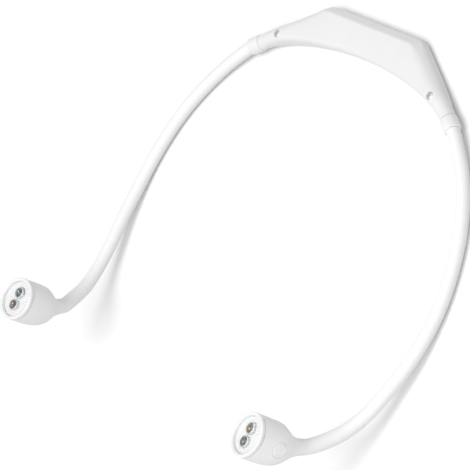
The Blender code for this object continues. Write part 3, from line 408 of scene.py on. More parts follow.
def relief(tree, shader, height, strength, depth):
    """Feeds a height to the shader's normal; its depth is in mm."""
    bump = tree.nodes.new("ShaderNodeBump")
    bump.inputs["Strength"].default_value = strength
    bump.inputs["Distance"].default_value = depth * MM
    tree.links.new(height, bump.inputs["Height"])
    tree.links.new(bump.outputs["Normal"], shader.inputs["Normal"])


def finish(name, tone, second, grain=4000, depth=0.02, rough=(0.35, 0.45), drift=60, **plain):
    """A material whose colour, roughness and bump come from the shared groups.

    The grain's depth is in mm. Whatever else is given goes to the shader's own sockets."""
    material, tree, shader = new_material(name)
    values = {
        "Tone": (*tone, 1),
        "Second Tone": (*second, 1),
        # Painted highlight on edges and painted shade in hollows
        "Edge": (*(min(1.0, value * PAINTED_HIGHLIGHT_GAIN) for value in tone), 1),
        "Hollow": (*(value * PAINTED_SHADE_TONE for value in tone), 1),
        "Drift Scale": drift,
        "Edge Amount": EDGE_AMOUNT,
        "Hollow Amount": HOLLOW_AMOUNT,
    }
    colour = placed(tree, tone_with_painted_light, values)
    tree.links.new(colour.outputs["Color"], shader.inputs["Base Color"])
    values = {"Scale": grain, "Smooth Roughness": rough[0], "Rough Roughness": rough[1]}
    surface = placed(tree, fine_grain, values)
    tree.links.new(surface.outputs["Roughness"], shader.inputs["Roughness"])
    relief(tree, shader, surface.outputs["Height"], GRAIN_STRENGTH, depth)
    for label, value in plain.items():
        shader.inputs[label.replace("_", " ")].default_value = value
    return material


# %% Whites: housing, collars, silicone, rings
white_cover = finish(
    "white_cover_plastic", (0.82, 0.82, 0.818), (0.80, 0.80, 0.80), rough=(0.34, 0.42), depth=0.008
)
white_collar = finish(
    "white_collar_plastic", (0.85, 0.85, 0.85), (0.83, 0.83, 0.83), rough=(0.30, 0.38), depth=0.005
)
soft_silicone = finish(
    "soft_silicone", (0.90, 0.90, 0.90), (0.88, 0.88, 0.885), rough=(0.48, 0.58), depth=0.012, drift=45,
    grain=2600, Specular_IOR_Level=0.25,
)
button_silicone = finish(
    "button_silicone", (0.90, 0.90, 0.90), (0.88, 0.88, 0.885), rough=(0.44, 0.54), depth=0.012,
    grain=2600, Specular_IOR_Level=0.25,
)
milky_ring = finish(
    "milky_ring", (0.84, 0.84, 0.84), (0.825, 0.825, 0.83), rough=(0.24, 0.32), depth=0.004,
    Subsurface_Weight=0.35, Subsurface_Scale=0.002,
)
for material in (white_cover, white_collar, soft_silicone, button_silicone, milky_ring):
    print("material", material.name)

# %% [markdown]
# The clear pieces keep a plain transmission, and a lower one makes them milky. The lamp domes are
# glossy under a thin coat and painted dark, as painted shade seen through their resin, with lighter
# spots that are painted glints: nearly grey-blue for the cool lamp, brown for the warm one. A pale
# chip lies in each.

# %% Clear plastics
SECOND_CLEAR = 0.96
RIPPLE_STRENGTH = 0.5


def clear_plastic(name, tone, roughness, ripple, clearness=1.0, ior=1.49):
    """A clear plastic, milky where its clearness is low; its ripples are in mm."""
    material, tree, shader = new_material(name)
    shader.inputs["Transmission Weight"].default_value = clearness
    shader.inputs["IOR"].default_value = ior
    values = {
        "Tone": (*tone, 1),
        "Second Tone": (*(value * SECOND_CLEAR for value in tone), 1),
        "Smooth Roughness": roughness,
        "Rough Roughness": roughness * 2,
    }
    surface = placed(tree, mould_ripple, values)
    tree.links.new(surface.outputs["Color"], shader.inputs["Base Color"])
    tree.links.new(surface.outputs["Roughness"], shader.inputs["Roughness"])
    relief(tree, shader, surface.outputs["Height"], RIPPLE_STRENGTH, ripple)
    print("material", material.name)
    return material


clear_cup = clear_plastic("clear_cup", (0.97, 0.98, 0.985), 0.05, 0.06, clearness=0.55, ior=1.3)
pale_lens = clear_plastic("pale_lens", (0.97, 0.975, 0.975), 0.16, 0.03, clearness=0.2)
light_pipe = clear_plastic("milky_light_pipe", (0.93, 0.95, 0.95), 0.22, 0.03)

# %% Lamps: bowl, domes and chips
white_reflector = finish(
    "white_reflector", (0.90, 0.90, 0.90), (0.87, 0.87, 0.87), rough=(0.25, 0.35), depth=0.004
)
# The domes are painted dark as painted shade seen through the resin, and their lighter drift spots are
# painted glints
dome_finish = {
    "rough": (0.06, 0.12), "depth": 0.02, "grain": 1500, "drift": 900,
    "Coat_Weight": 0.6, "Coat_Roughness": 0.05,
}
cool_dome = finish("cool_lamp_dome", (0.012, 0.018, 0.02), (0.21, 0.245, 0.255), **dome_finish)
warm_dome = finish("warm_lamp_dome", (0.02, 0.016, 0.014), (0.31, 0.24, 0.19), **dome_finish)
chip_finish = {"rough": (0.2, 0.3), "depth": 0.01, "grain": 6000, "drift": 1500}
cool_chip = finish("cool_chip", (0.42, 0.45, 0.46), (0.60, 0.63, 0.64), **chip_finish)
warm_chip = finish("warm_chip", (0.72, 0.58, 0.42), (0.85, 0.74, 0.60), **chip_finish)
for material in (white_reflector, cool_dome, warm_dome, cool_chip, warm_chip):
    print("material", material.name)

# %% Metals
screw_steel = finish(
    "screw_steel", (0.63, 0.63, 0.64), (0.55, 0.55, 0.56), rough=(0.42, 0.54), depth=0.004, grain=3500,
    Metallic=0.75,
)
socket_steel = finish(
    "socket_steel", (0.60, 0.61, 0.62), (0.50, 0.51, 0.52), rough=(0.22, 0.34), depth=0.003, grain=5000,
    Metallic=1.0,
)
core_wire = finish(
    "core_wire", (0.45, 0.44, 0.42), (0.38, 0.37, 0.36), rough=(0.30, 0.45), depth=0.01, grain=900,
    Metallic=1.0,
)
pouch_foil = finish(
    "pouch_foil", (0.58, 0.59, 0.60), (0.48, 0.49, 0.50), rough=(0.22, 0.40), depth=0.05, grain=300,
    Metallic=0.8,
)
for material in (screw_steel, socket_steel, core_wire, pouch_foil):
    print("material", material.name)

# %% Boards, foam, cable and inner plastics
inner_plastic = finish(
    "inner_plastic", (0.72, 0.72, 0.71), (0.68, 0.68, 0.68), rough=(0.45, 0.55), depth=0.01
)
green_board = finish(
    "green_board", (0.03, 0.16, 0.08), (0.05, 0.22, 0.11), rough=(0.25, 0.4), depth=0.02, grain=1200,
    drift=400,
)
white_board = finish(
    "white_lamp_board", (0.80, 0.80, 0.79), (0.74, 0.74, 0.73), rough=(0.3, 0.4), depth=0.01, drift=300
)
grey_foam = finish(
    "grey_foam", (0.10, 0.10, 0.105), (0.06, 0.06, 0.065), rough=(0.85, 0.95), depth=0.15, grain=1800
)
cable_skin = finish(
    "cable_skin", (0.45, 0.04, 0.03), (0.38, 0.03, 0.03), rough=(0.4, 0.5), depth=0.01
)
switch_body = finish(
    "switch_body", (0.05, 0.05, 0.055), (0.08, 0.08, 0.085), rough=(0.35, 0.5), depth=0.01
)
for material in (inner_plastic, green_board, white_board, grey_foam, cable_skin, switch_body):
    print("material", material.name)

# %% [markdown]
# ## Pieces that stay as they are
#
# Some pieces hide inside the shells and are right as they stand: the cell, its foam, the boards, the
# cables, the bendable core and the switches. They only need the finish of what they are made of.

# %% Finishes for the frame's own pieces
def dress(node, material):
    """Puts a material into the slots of one of the frame's own pieces."""
    piece = frame["nodes"][node]
    piece.data.materials.clear()
    piece.data.materials.append(material)


dress("battery_cell", pouch_foil)
dress("battery_pad", grey_foam)
dress("control_board", green_board)
dress("usb_socket", socket_steel)
dress("charge_light_pipe", light_pipe)
for side in ("left", "right"):
    for core in ("anchor_core", "near_core", "far_core", "link_core", "head_core"):
        dress(f"{side}_{core}", core_wire)
    dress(f"{side}_lead", cable_skin)
    dress(f"{side}_lamp_body", inner_plastic)
    dress(f"{side}_led_board", white_board)
    dress(f"{side}_tact_switch", switch_body)
print("dressed the inner pieces")

# %% [markdown]
# ## The arm's line
#
# The gooseneck follows one smooth line from inside the collar to the lamp head. A few places along it
# are enough: each is how far out, how far forward and how high the line has got, as shares of the
# whole reach. The curve between them passes through every place without swinging out, which is what
# a centripetal curve is good at.

# %% A smooth line through given places
CURVE_STEPS = 24


def smooth_line(places, pieces=CURVE_STEPS):
    """Points of the centripetal curve through all places but the first and the last."""
    found = []
    for index in range(len(places) - 3):
        near = places[index : index + 4]
        times = [0.0]
        for first, second in zip(near, near[1:]):
            times.append(times[-1] + (second - first).length ** 0.5)
        for piece in range(pieces):
            now = times[1] + (times[2] - times[1]) * piece / pieces
            level = near
            for width, offset in ((1, 0), (2, 0), (1, 1)):
                starts, ends = times[offset:], times[offset + width :]
                level = [
                    first.lerp(second, (now - start) / (end - start))
                    for first, second, start, end in zip(level, level[1:], starts, ends)
                ]
            found.append(level[0])
    found.append(places[-2])
    return found


class Line:
    """A line that can be asked for the place at a distance from its start."""

    def __init__(self, points):
        self.points = points
        self.lengths = [0.0]
        for first, second in zip(points, points[1:]):
            self.lengths.append(self.lengths[-1] + (second - first).length)
        self.length = self.lengths[-1]

    def at(self, distance):
        distance = min(max(distance, 0), self.length)
        index = next(k for k, value in enumerate(self.lengths[1:]) if value >= distance - 1e-9)
        low, high = self.lengths[index], self.lengths[index + 1]
        return self.points[index].lerp(self.points[index + 1], (distance - low) / (high - low))

    def direction(self, distance):
        step = 0.2 * MM
        return (self.at(distance + step) - self.at(distance - step)).normalized()


# %% [markdown]
# The fixed sizes of the collar, the arm and the head follow. The head leans in and back by a few
# degrees, so it has a frame of its own: Z leaves its front and X points to the outer side. The bell
# behind its front drifts a little to the back and the outside before it meets the arm.

# %% Sizes of collar, arm and head
COLLAR_ANGLE = math.radians(32.8)
SEAM = Vector((67.6, -18.85, 4.9)) * MM
COLLAR_AXIS = Vector((math.cos(COLLAR_ANGLE), -math.sin(COLLAR_ANGLE), 0))
COLLAR_END = SEAM + COLLAR_AXIS * 6.9 * MM
ANCHOR_START = SEAM - COLLAR_AXIS * 7.8 * MM
HALF_SPAN = 109 * MM
ARM_RUN = 150 * MM
ARM_RADIUS = 3.1 * MM
NECK_RADIUS = 3.5 * MM
FLAT_HEIGHT = 3.2 * MM
HEAD_FRONT = Vector((90.8, -172.3, 57.5)) * MM
LEAN_IN = math.radians(5.1)
LEAN_BACK = math.radians(2.3)
BOOT_LENGTH = 31 * MM
BOOT_RADIUS = 10 * MM
NECK_DRIFT = Vector((1.5, 5.4, 0)) * MM
# The room for the bendable wire, as a radius in mm
WIRE_ROOM = 1.4

# Depth behind the front, width and sideways drift of the bell, as shares
boot_shares = (
    (0.074, 1.000, 0.000), (0.200, 1.000, 0.026), (0.340, 0.990, 0.075), (0.430, 0.970, 0.130),
    (0.500, 0.930, 0.190), (0.560, 0.860, 0.240), (0.620, 0.755, 0.300), (0.680, 0.630, 0.370),
    (0.740, 0.515, 0.450), (0.800, 0.430, 0.540), (0.870, 0.375, 0.680), (1.000, 0.350, 1.000),
)


def drift_at(depth):
    """The sideways drift at a depth, straight between the table's rows."""
    rows = [(0.0, 1.0, 0.0), *boot_shares]
    for first, second in zip(rows, rows[1:]):
        if depth <= second[0]:
            share = (depth - first[0]) / (second[0] - first[0])
            return first[2] + share * (second[2] - first[2])
    return 1.0


def head_axis():
    return Vector((-math.tan(LEAN_IN), math.tan(LEAN_BACK), 1)).normalized()


def boot_middle(depth, drift):
    """The middle of the bell, for a depth behind the front and a sideways drift, both as shares."""
    return HEAD_FRONT - head_axis() * (BOOT_LENGTH * depth) + NECK_DRIFT * drift


print("the head is", round(2 * BOOT_RADIUS / MM, 1), "mm wide")

# %% The arm's line
# How far out, forward and up the arm has got, as shares of its whole reach
arm_shares = (
    (0.184, 0.042, 0.022), (0.381, 0.093, 0.009), (0.592, 0.166, 0.002), (0.789, 0.259, 0.000),
    (0.916, 0.356, 0.000), (0.986, 0.453, 0.002), (1.000, 0.549, 0.015), (0.972, 0.646, 0.046),
    (0.904, 0.739, 0.085), (0.831, 0.825, 0.142), (0.747, 0.893, 0.228), (0.671, 0.941, 0.339),
)
# The depths in the bell that the line passes on its way to the front
head_depths = (1.00, 0.87, 0.62, 0.34, 0.00)

places = [COLLAR_END]
for out, run, rise in arm_shares:
    across = COLLAR_END.x + out * (HALF_SPAN - COLLAR_END.x)
    height = FLAT_HEIGHT + rise * (HEAD_FRONT.z - FLAT_HEIGHT)
    places.append(Vector((across, COLLAR_END.y - run * ARM_RUN, height)))
places += [boot_middle(depth, drift_at(depth)) for depth in head_depths]
ahead = places[-1] * 2 - places[-2]
in_collar = (ANCHOR_START + COLLAR_END) / 2
arm_line = Line([ANCHOR_START, *smooth_line([in_collar, *places, ahead])])
arm_low = arm_line.lengths[1]
arm_high = arm_line.lengths[1 + CURVE_STEPS * (len(arm_shares) + 1)]
print("the arm's skin runs from", round(arm_low / MM, 2), "to", round(arm_high / MM, 2), "mm on its line")

# %% [markdown]
# ## Silicone skin of the arms
#
# On the real light one soft tube covers the whole gooseneck, and it bends wherever the wire inside it
# bends. Here it is laid as a curve with a round section, turned into a mesh and given its wall. It is
# divided where the frame's own sleeves end, and each part reaches across one joint. Where two
# parts meet, their end rings lie in the same plane, so no seam shows.
#
# Work on the mesh itself happens in edit mode. A helper opens it, one closes it, and one leaves a
# clean mesh behind, with doubled vertices merged and all faces turned outward.

# %% Edit mode and a clean mesh
# Vertices closer together than this are one
MERGE = 0.002 * MM


def enter(piece):
    """Opens one piece in edit mode with its vertices in reach."""
    take(piece)
    bpy.ops.object.mode_set(mode="EDIT")
    bpy.ops.mesh.select_mode(type="VERT")


def leave():
    bpy.ops.object.mode_set(mode="OBJECT")


def heal(piece):
    """Merges doubled vertices and turns all faces outward."""
    enter(piece)
    bpy.ops.mesh.select_all(action="SELECT")
    bpy.ops.mesh.remove_doubles(threshold=MERGE)
    bpy.ops.mesh.normals_make_consistent(inside=False)
    leave()
    return piece


# %% A tube along a line
def tube(name, points, radii, sides=32, capped=False):
    """A round tube through points, with a radius at each, made from a curve."""
    deselect_all()
    bpy.ops.curve.primitive_nurbs_path_add()
    guide = bpy.context.object
    guide.name = name
    guide.data.splines.clear()
    guide.data.bevel_depth = 1
    guide.data.bevel_resolution = sides // 2 - 2
    guide.data.use_fill_caps = capped
    guide.data.twist_mode = "MINIMUM"
    spline = guide.data.splines.new("POLY")
    spline.points.add(len(points) - 1)
    for knot, point, radius in zip(spline.points, points, radii):
        knot.co = (*point, 1)
        knot.radius = radius
    take(guide)
    bpy.ops.object.convert(target="MESH")
    return heal(bpy.context.object)


def along(line, low, high, step=1.1 * MM):
    """Points from low to high, the two at each end square to the line there."""
    square = 0.5 * MM
    count = max(3, round((high - low - 2 * square) / step))
    distances = [low + square + (high - low - 2 * square) * k / count for k in range(count + 1)]
    points = [line.at(low), line.at(low) + line.direction(low) * square]
    points += [line.at(distance) for distance in distances[1:-1]]
    points += [line.at(high) - line.direction(high) * square, line.at(high)]
    return points, [low, *distances, high]


def ease(value):
    """Goes from 0 to 1 with a soft start and a soft end."""
    value = min(max(value, 0.0), 1.0)
    return value * value * (3 - 2 * value)


def arm_radius(distance):
    """Even along the arm, growing a little over the last stretch before the head."""
    growing = 30 * MM
    grown = ease((distance - arm_high + growing) / growing)
    return ARM_RADIUS + (NECK_RADIUS - ARM_RADIUS) * grown


# %% Copies, modifiers and names
def copy_of(piece, name):
    """A copy with its own mesh."""
    take(piece)
    bpy.ops.object.duplicate(linked=False)
    double = bpy.context.object
    double.name = name
    double.data.name = name
    return double


def mirrored(point):
    return Vector((-point.x, point.y, point.z))


def left_copy(piece, name):
    """The same piece on the left, with its faces turned outward again."""
    double = copy_of(piece, name)
    settle(double, Matrix.Diagonal((-1, 1, 1, 1)))
    return heal(double)


def modify(piece, kind, **settings):
    """Gives a piece a modifier and applies it."""
    take(piece)
    step = piece.modifiers.new("step", kind)
    for label, value in settings.items():
        setattr(step, label, value)
    bpy.ops.object.modifier_apply(modifier=step.name)
    return piece


def named(piece, name, material):
    """Gives a finished piece its name and its one material."""
    piece.name = name
    piece.data.name = name
    piece.data.materials.clear()
    piece.data.materials.append(material)
    return piece


def smooth(piece, angle=32):
    """Shades a piece smooth, apart from edges that are sharper than an angle."""
    take(piece)
    bpy.ops.object.shade_smooth_by_angle(angle=math.radians(angle))
    return piece


# %% Where each part of the skin runs
reach = arm_high - arm_low
root_at = arm_low + 0.049 * reach
middle_at = arm_low + 0.405 * reach
wrist_at = arm_low + 0.822 * reach
flex = 14.0 * MM
root_flex = 7.8 * MM
neck_flex = 6.2 * MM
root_end = root_at + root_flex
neck_at = arm_high - neck_flex
neck_start = neck_at - neck_flex
# Name, from, to, end of the bend, the two bodies, and the frame's pieces that it stands for
skin_parts = (
    (
        "root", arm_low, middle_at - flex, root_end,
        "base", "near_arm", ("root_flex", "near_sleeve"),
    ),
    (
        "middle", middle_at - flex, wrist_at - flex, middle_at + flex,
        "near_arm", "far_arm", ("middle_flex", "far_sleeve"),
    ),
    (
        "wrist", wrist_at - flex, neck_start, wrist_at + flex,
        "far_arm", "link", ("wrist_flex", "link_sleeve"),
    ),
    (
        "neck", neck_start, arm_high, arm_high,
        "link", "head", ("neck_flex",),
    ),
)
print("the arm bends over", 2 * flex / MM, "mm at its middle and at its wrist")

# %% Make the skins
for word, low, high, bend_end, first, second, nodes in skin_parts:
    points, distances = along(arm_line, low, high)
    skin = tube(f"right_{word}_skin", points, [arm_radius(distance) for distance in distances])
    modify(skin, "SOLIDIFY", thickness=ARM_RADIUS - WIRE_ROOM * MM, offset=-1, use_even_offset=True)
    twin = left_copy(skin, f"left_{word}_skin")
    for side, piece in (("right", skin), ("left", twin)):
        body = first if first == "base" else f"{side}_{first}"
        smooth(named(piece, f"{side}_{word}_skin", soft_silicone))
        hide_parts(*[f"{side}_{node}" for node in nodes])
        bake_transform(piece)
    print("skin", word, "is", round((high - low) / MM, 1), "mm long")

# %% [markdown]
# ## Bell-shaped boots
#
# The head's outer skin is one soft moulding. It stays about as wide as the ring for half its length and
# then closes like a bell round the arm, a little to the back and to the outside. It could be turned on a
# lathe, but its middle wanders, so it is laid as a tube with a changing radius. The hollow for the
# lamp body, the passage for the wire and the hole for the button are cut out afterwards.

# %% Lathe work: a turned piece
def turned(name, outline, sides=64, filled=True):
    """A lathe piece from (radius, height) steps in mm: a circle, extruded and widened step by step.

    A filled one is solid from its first step to its last; otherwise the last step meets the first."""
    deselect_all()
    radius, height = outline[0]
    inside = "NGON" if filled else "NOTHING"
    bpy.ops.mesh.primitive_circle_add(
        vertices=sides, radius=radius * MM, location=(0, 0, height * MM), fill_type=inside
    )
    piece = bpy.context.object
    piece.name = name
    bpy.ops.object.mode_set(mode="EDIT")
    bpy.ops.mesh.select_all(action="SELECT")
    for (old_radius, old_height), (new_radius, new_height) in zip(outline, outline[1:]):
        up = (0, 0, (new_height - old_height) * MM)
        bpy.ops.mesh.extrude_region_move(TRANSFORM_OT_translate={"value": up})
        share = new_radius / old_radius
        bpy.ops.transform.resize(value=(share, share, 1), center_override=(0, 0, new_height * MM))
    leave()
    settle(piece)
    return heal(piece)


def arc(middle, radius, start, end, steps):
    """Steps of a lathe outline round a corner, the angles in degrees."""
    found = []
    for step in range(steps + 1):
        angle = math.radians(start + (end - start) * step / steps)
        found.append((middle[0] + radius * math.cos(angle), middle[1] + radius * math.sin(angle)))
    return found


# %% Frames of the head and of its button
SIDES = {"right": 1, "left": -1}
BUTTON_DEPTH = 12.4 * MM


def head_frame(side):
    """Z leaves the front of the head, X points away from the other head."""
    z_axis = head_axis()
    z_axis.x *= side
    x_axis = Vector((side, 0, 0))
    x_axis = (x_axis - z_axis * x_axis.dot(z_axis)).normalized()
    turn = Matrix((x_axis, z_axis.cross(x_axis), z_axis)).transposed().to_4x4()
    return Matrix.Translation((HEAD_FRONT.x * side, HEAD_FRONT.y, HEAD_FRONT.z)) @ turn


def button_frame(side):
    """Z leaves the head sideways through the middle of the button."""
    down = Matrix.Translation((0, 0, -BUTTON_DEPTH))
    return head_frame(side) @ down @ Matrix.Rotation(math.pi / 2, 4, "Y")


# %% [markdown]
# A piece is cut with another by a boolean, which can go wrong where faces almost touch. The volume
# shows it: what is left can't be larger than before, and can't lack more than the tool holds.

# %% Cutting one piece with another
# The share by which a volume may be off
LEEWAY = 0.001


def volume(piece):
    """The volume of a closed piece, and 0 for one that is open or torn."""
    shape = bmesh.new()
    shape.from_mesh(piece.data)
    found = shape.calc_volume() if all(edge.is_manifold for edge in shape.edges) else 0.0
    shape.free()
    return found


def cut(piece, tool, operation="DIFFERENCE"):
    """Cuts one piece with another, or fuses the two, and throws the tool away.

    If the exact way gives a wrong volume, the cut is made again in the quicker way."""
    whole, part = volume(piece), volume(tool)
    least, most = {
        "DIFFERENCE": (whole - part, whole),
        "UNION": (max(whole, part), whole + part),
        "INTERSECT": (0, min(whole, part)),
    }[operation]
    before = piece.data.copy()
    for solver in ("EXACT", "FAST"):
        modify(piece, "BOOLEAN", operation=operation, solver=solver, object=tool)
        after = volume(piece)
        if after > 0 and (1 - LEEWAY) * least <= after <= (1 + LEEWAY) * most:
            break
        print(f"{solver} cut of {piece.name} with {tool.name} gave {after / MM**3:.1f} mm3")
        piece.data = before.copy()
    bpy.data.objects.remove(tool, do_unlink=True)
    return piece


# %% The bell's smooth outside
rows = [Vector(row) for row in boot_shares]
before = rows[0] * 2 - rows[1]
after = rows[-1] * 2 - rows[-2]
# The last few are left out, because the neck of the bell goes straight over into the arm
bell = smooth_line([before, *rows, after], pieces=5)[:-4]


def bell_solid(name, more=0):
    """The bell as one closed solid, from its neck to just behind the ring, larger all round by more."""
    neck = arm_line.at(arm_high)
    collar = 0.6 * MM
    rounding = 0.05 * MM
    points = [neck, neck + arm_line.direction(arm_high) * collar]
    radii = [NECK_RADIUS + more, NECK_RADIUS + more]
    for depth, width, drift in reversed(bell):
        points.append(boot_middle(depth, drift))
        radii.append(BOOT_RADIUS * width + more)
    points.append(points[-1] + head_axis() * rounding)
    radii.append(radii[-1] - rounding)
    return tube(name, points, radii, sides=64, capped=True)


boot = bell_solid("boot")
lamp_room = turned("hollow", [(8.1, -15.0), (9.2, -6.7), (9.2, 1.0)], sides=48)
cut(boot, settle(lamp_room, head_frame(1)))
points, _ = along(arm_line, arm_high - 2 * MM, arm_line.length - 12 * MM)
cut(boot, tube("wire_passage", points, [WIRE_ROOM * MM] * len(points), sides=16, capped=True))
print("boot has", len(boot.data.polygons), "faces")

# %% [markdown]
# The button is a disc of the same skin, cut from the same bell, so its face carries on the bell's
# curve exactly. Its hole is a little wider, and the edges of both are rounded by hand: the edges that
# lie on the hole's circle are picked by their distance from its axis and bevelled. A raised mark, the
# plain sign for power, shows where to press. To follow the curve as well, it is the part of a slightly
# larger bell that lies inside a ring and a bar.

# %% Round tools and round edges
def pick(test):
    """In edit mode, selects the visible vertices that pass a test, and says how many."""
    shape = bmesh.from_edit_mesh(bpy.context.object.data)
    bpy.ops.mesh.select_all(action="DESELECT")
    found = [vertex for vertex in shape.verts if not vertex.hide and test(vertex.co)]
    for vertex in found:
        vertex.select_set(True)
    shape.select_flush_mode()
    bmesh.update_edit_mesh(bpy.context.object.data)
    return len(found)


def rod(name, radius, low, high, frame=None, sides=48):
    """A plain round tool for cutting, from low to high along Z, in mm."""
    deselect_all()
    middle = (0, 0, (low + high) / 2 * MM)
    bpy.ops.mesh.primitive_cylinder_add(
        vertices=sides, radius=radius * MM, depth=(high - low) * MM, location=middle
    )
    tool = bpy.context.object
    tool.name = name
    return settle(tool, frame)


def bevel_circle(piece, frame, radius, low, width, segments=3):
    """Rounds the edge that lies on a circle round a frame's axis, above a height, in mm.

    Vertices that a cut left closer together than the rounding is wide are merged first."""
    back = frame.inverted()
    slack = 0.06

    def on_circle(place):
        local = back @ place
        around = math.hypot(local.x, local.y) / MM
        return abs(around - radius) < slack and local.z / MM > low

    enter(piece)
    pick(on_circle)
    bpy.ops.mesh.remove_doubles(threshold=width * MM)
    count = pick(on_circle)
    bpy.ops.mesh.bevel(
        offset=width * MM, segments=segments, profile=0.5, affect="EDGES", clamp_overlap=False
    )
    leave()
    print(piece.name, "rounded at", count, "vertices")


# %% Button hole
HOLE_RADIUS, BUTTON_RADIUS = 3.58, 3.5
HOLE_FLOOR, BUTTON_FLOOR = 6.8, 8.3
PAST_SKIN = 14.0
RIM_LOW = 9.0
RIM_ROUND = 0.12
out = button_frame(1)
cut(boot, rod("button_hole", HOLE_RADIUS, HOLE_FLOOR, PAST_SKIN, out))
bevel_circle(boot, out, HOLE_RADIUS, RIM_LOW, RIM_ROUND)


# %% Button with its raised mark
def block(low, high):
    """A block between two corners, in mm."""
    low, high = Vector(low), Vector(high)
    deselect_all()
    bpy.ops.mesh.primitive_cube_add(size=1, location=(low + high) / 2 * MM, scale=(high - low) * MM)
    return settle(bpy.context.object)


MARK_RISE = 0.22 * MM
MARK_INSIDE, MARK_OUTSIDE, MARK_LOW = 2.35, 2.8, 8.5
button = bell_solid("button")
cut(button, rod("button_plug", BUTTON_RADIUS, BUTTON_FLOOR, PAST_SKIN, out), "INTERSECT")
low_ring = [(MARK_INSIDE, MARK_LOW), (MARK_OUTSIDE, MARK_LOW)]
high_ring = [(MARK_OUTSIDE, PAST_SKIN), (MARK_INSIDE, PAST_SKIN)]
sign = turned("sign", [*low_ring, *high_ring, low_ring[0]], filled=False)
opening = block((-4, -0.95, 8), (-1, 0.95, 15))
cut(sign, opening)
bar = block((-3.0, -0.22, MARK_LOW), (-0.6, 0.22, PAST_SKIN))
cut(sign, bar, "UNION")
settle(sign, out)
cut(sign, bell_solid("larger_bell", MARK_RISE), "INTERSECT")
cut(button, sign, "UNION")
bevel_circle(button, out, BUTTON_RADIUS, RIM_LOW, RIM_ROUND)
print("button and its mark have", len(button.data.polygons), "faces")

# %% Finish boots and buttons on both sides
for name, piece, material, body in (
    ("boot", boot, soft_silicone, "head"),
    ("power_button", button, button_silicone, "button"),
):
    for side, double in (("left", left_copy(piece, "left_" + name)), ("right", piece)):
        smooth(named(double, f"{side}_{name}_skin", material), angle=40)
        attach(double, f"{side}_{body}")
        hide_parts(f"{side}_{name}")
print("boots and buttons ride on the heads")

# %% [markdown]
# ## Bezel rings
#
# A thick ring of milky plastic closes the front of each head. It is a true lathe piece: its section is
# drawn as steps, and a circle is extruded and widened along them until it meets its own start. The
# inner corner is rounded too, because light gathers there on the real ring.

# %% Bezel rings
ring_steps = [(8.3, -3.4), (8.3, -1.1)]
ring_steps += arc((9.4, -1.1), 1.1, 180, 90, 7)[1:-1]
ring_steps += arc((9.4, -0.7), 0.7, 90, 0, 6)
ring_steps += [(10.1, -1.8), (10.0, -2.0), (8.9, -2.0), (8.9, -3.4), (8.3, -3.4)]
ring = turned("ring", ring_steps, sides=96, filled=False)


def on_heads(piece, name, material, nodes, angle=32):
    """Puts a copy of a piece that was made at the origin on each head."""
    for side, sign in SIDES.items():
        double = copy_of(piece, f"{side}_{name}")
        settle(double, head_frame(sign))
        smooth(named(double, f"{side}_{name}", material), angle)
        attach(double, f"{side}_head")
        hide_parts(*[f"{side}_{node}" for node in nodes])
    bpy.data.objects.remove(piece, do_unlink=True)


on_heads(ring, "front_ring", milky_ring, ["bezel_ring"])
print("rings on both heads")

# %% [markdown]
# ## Lens and cups
#
# Behind the ring lies a pale disc with a few faint turned lines. Two clear cups stand up from it, one
# for each lamp. The disc is turned, then bored for the cups, and the cups are turned by themselves, so
# that each can have its own clarity.

# %% Lens disc with its bores
LENS_FACE = -1.75
LINE_FLOOR = -1.84
LINE_HALF = 0.12
UNDER_FACE = -2.1
CUP_HOLE = 2.78
CUP_HOLE_ROUND = 0.12
CUP_TOOL = (CUP_HOLE, -4.0, 1.0)
CUP_OFFSET = 3.0 * MM
lens_steps = [(8.15, -3.0), (8.27, -2.9), (8.27, -1.82), (8.2, LENS_FACE)]
for radius in (7.2, 6.5, 5.9):
    lens_steps += [(radius + LINE_HALF, LENS_FACE), (radius, LINE_FLOOR), (radius - LINE_HALF, LENS_FACE)]
lens = turned("lens", lens_steps, sides=96)
cup_places = {
    "warm": Matrix.Translation((0, CUP_OFFSET, 0)),
    "cool": Matrix.Translation((0, -CUP_OFFSET, 0)),
}
for word, place in cup_places.items():
    cut(lens, rod(f"{word}_hole", *CUP_TOOL, place))
    bevel_circle(lens, place, CUP_HOLE, UNDER_FACE, CUP_HOLE_ROUND, segments=2)
on_heads(lens, "lens_disc", pale_lens, ["lens"])

# %% Clear cups
CUP_BORE = 2.33
cup_steps = [(CUP_BORE, -3.0), (CUP_BORE, -0.82), *arc((CUP_BORE + 0.12, -0.82), 0.12, 180, 90, 3)[1:]]
cup_steps += [*arc((2.6, -0.85), 0.15, 90, 0, 3), (2.75, -1.8), (2.75, -3.0), (CUP_BORE, -3.0)]
cup = turned("cup", cup_steps, sides=64, filled=False)
for word, place in cup_places.items():
    double = settle(copy_of(cup, word), place)
    on_heads(double, f"{word}_cup", clear_cup, ["lens"])
bpy.data.objects.remove(cup, do_unlink=True)
print("lens discs and cups in place")

# %% [markdown]
# ## Lamps
#
# Each lamp is a white bowl with a low dome in it and a pale chip in the dome. The dome is painted dark,
# as painted shade seen through its resin, so the lamp reads as a dark disc near the front of its clear
# cup: grey-blue for the cool lamp, brown for the warm.

# %% Bowls and domes
BOWL = CUP_BORE - 0.05
bowl_steps = [(0.3, -4.7), (BOWL - 0.1, -4.7), (BOWL, -4.6), (BOWL, -0.5), (BOWL - 0.05, -0.44)]
bowl_steps += [(BOWL - 0.09, -0.5), (BOWL - 0.09, -1.14), (0.3, -1.14), (0.3, -4.7)]
bowl = turned("bowl", bowl_steps, sides=48, filled=False)

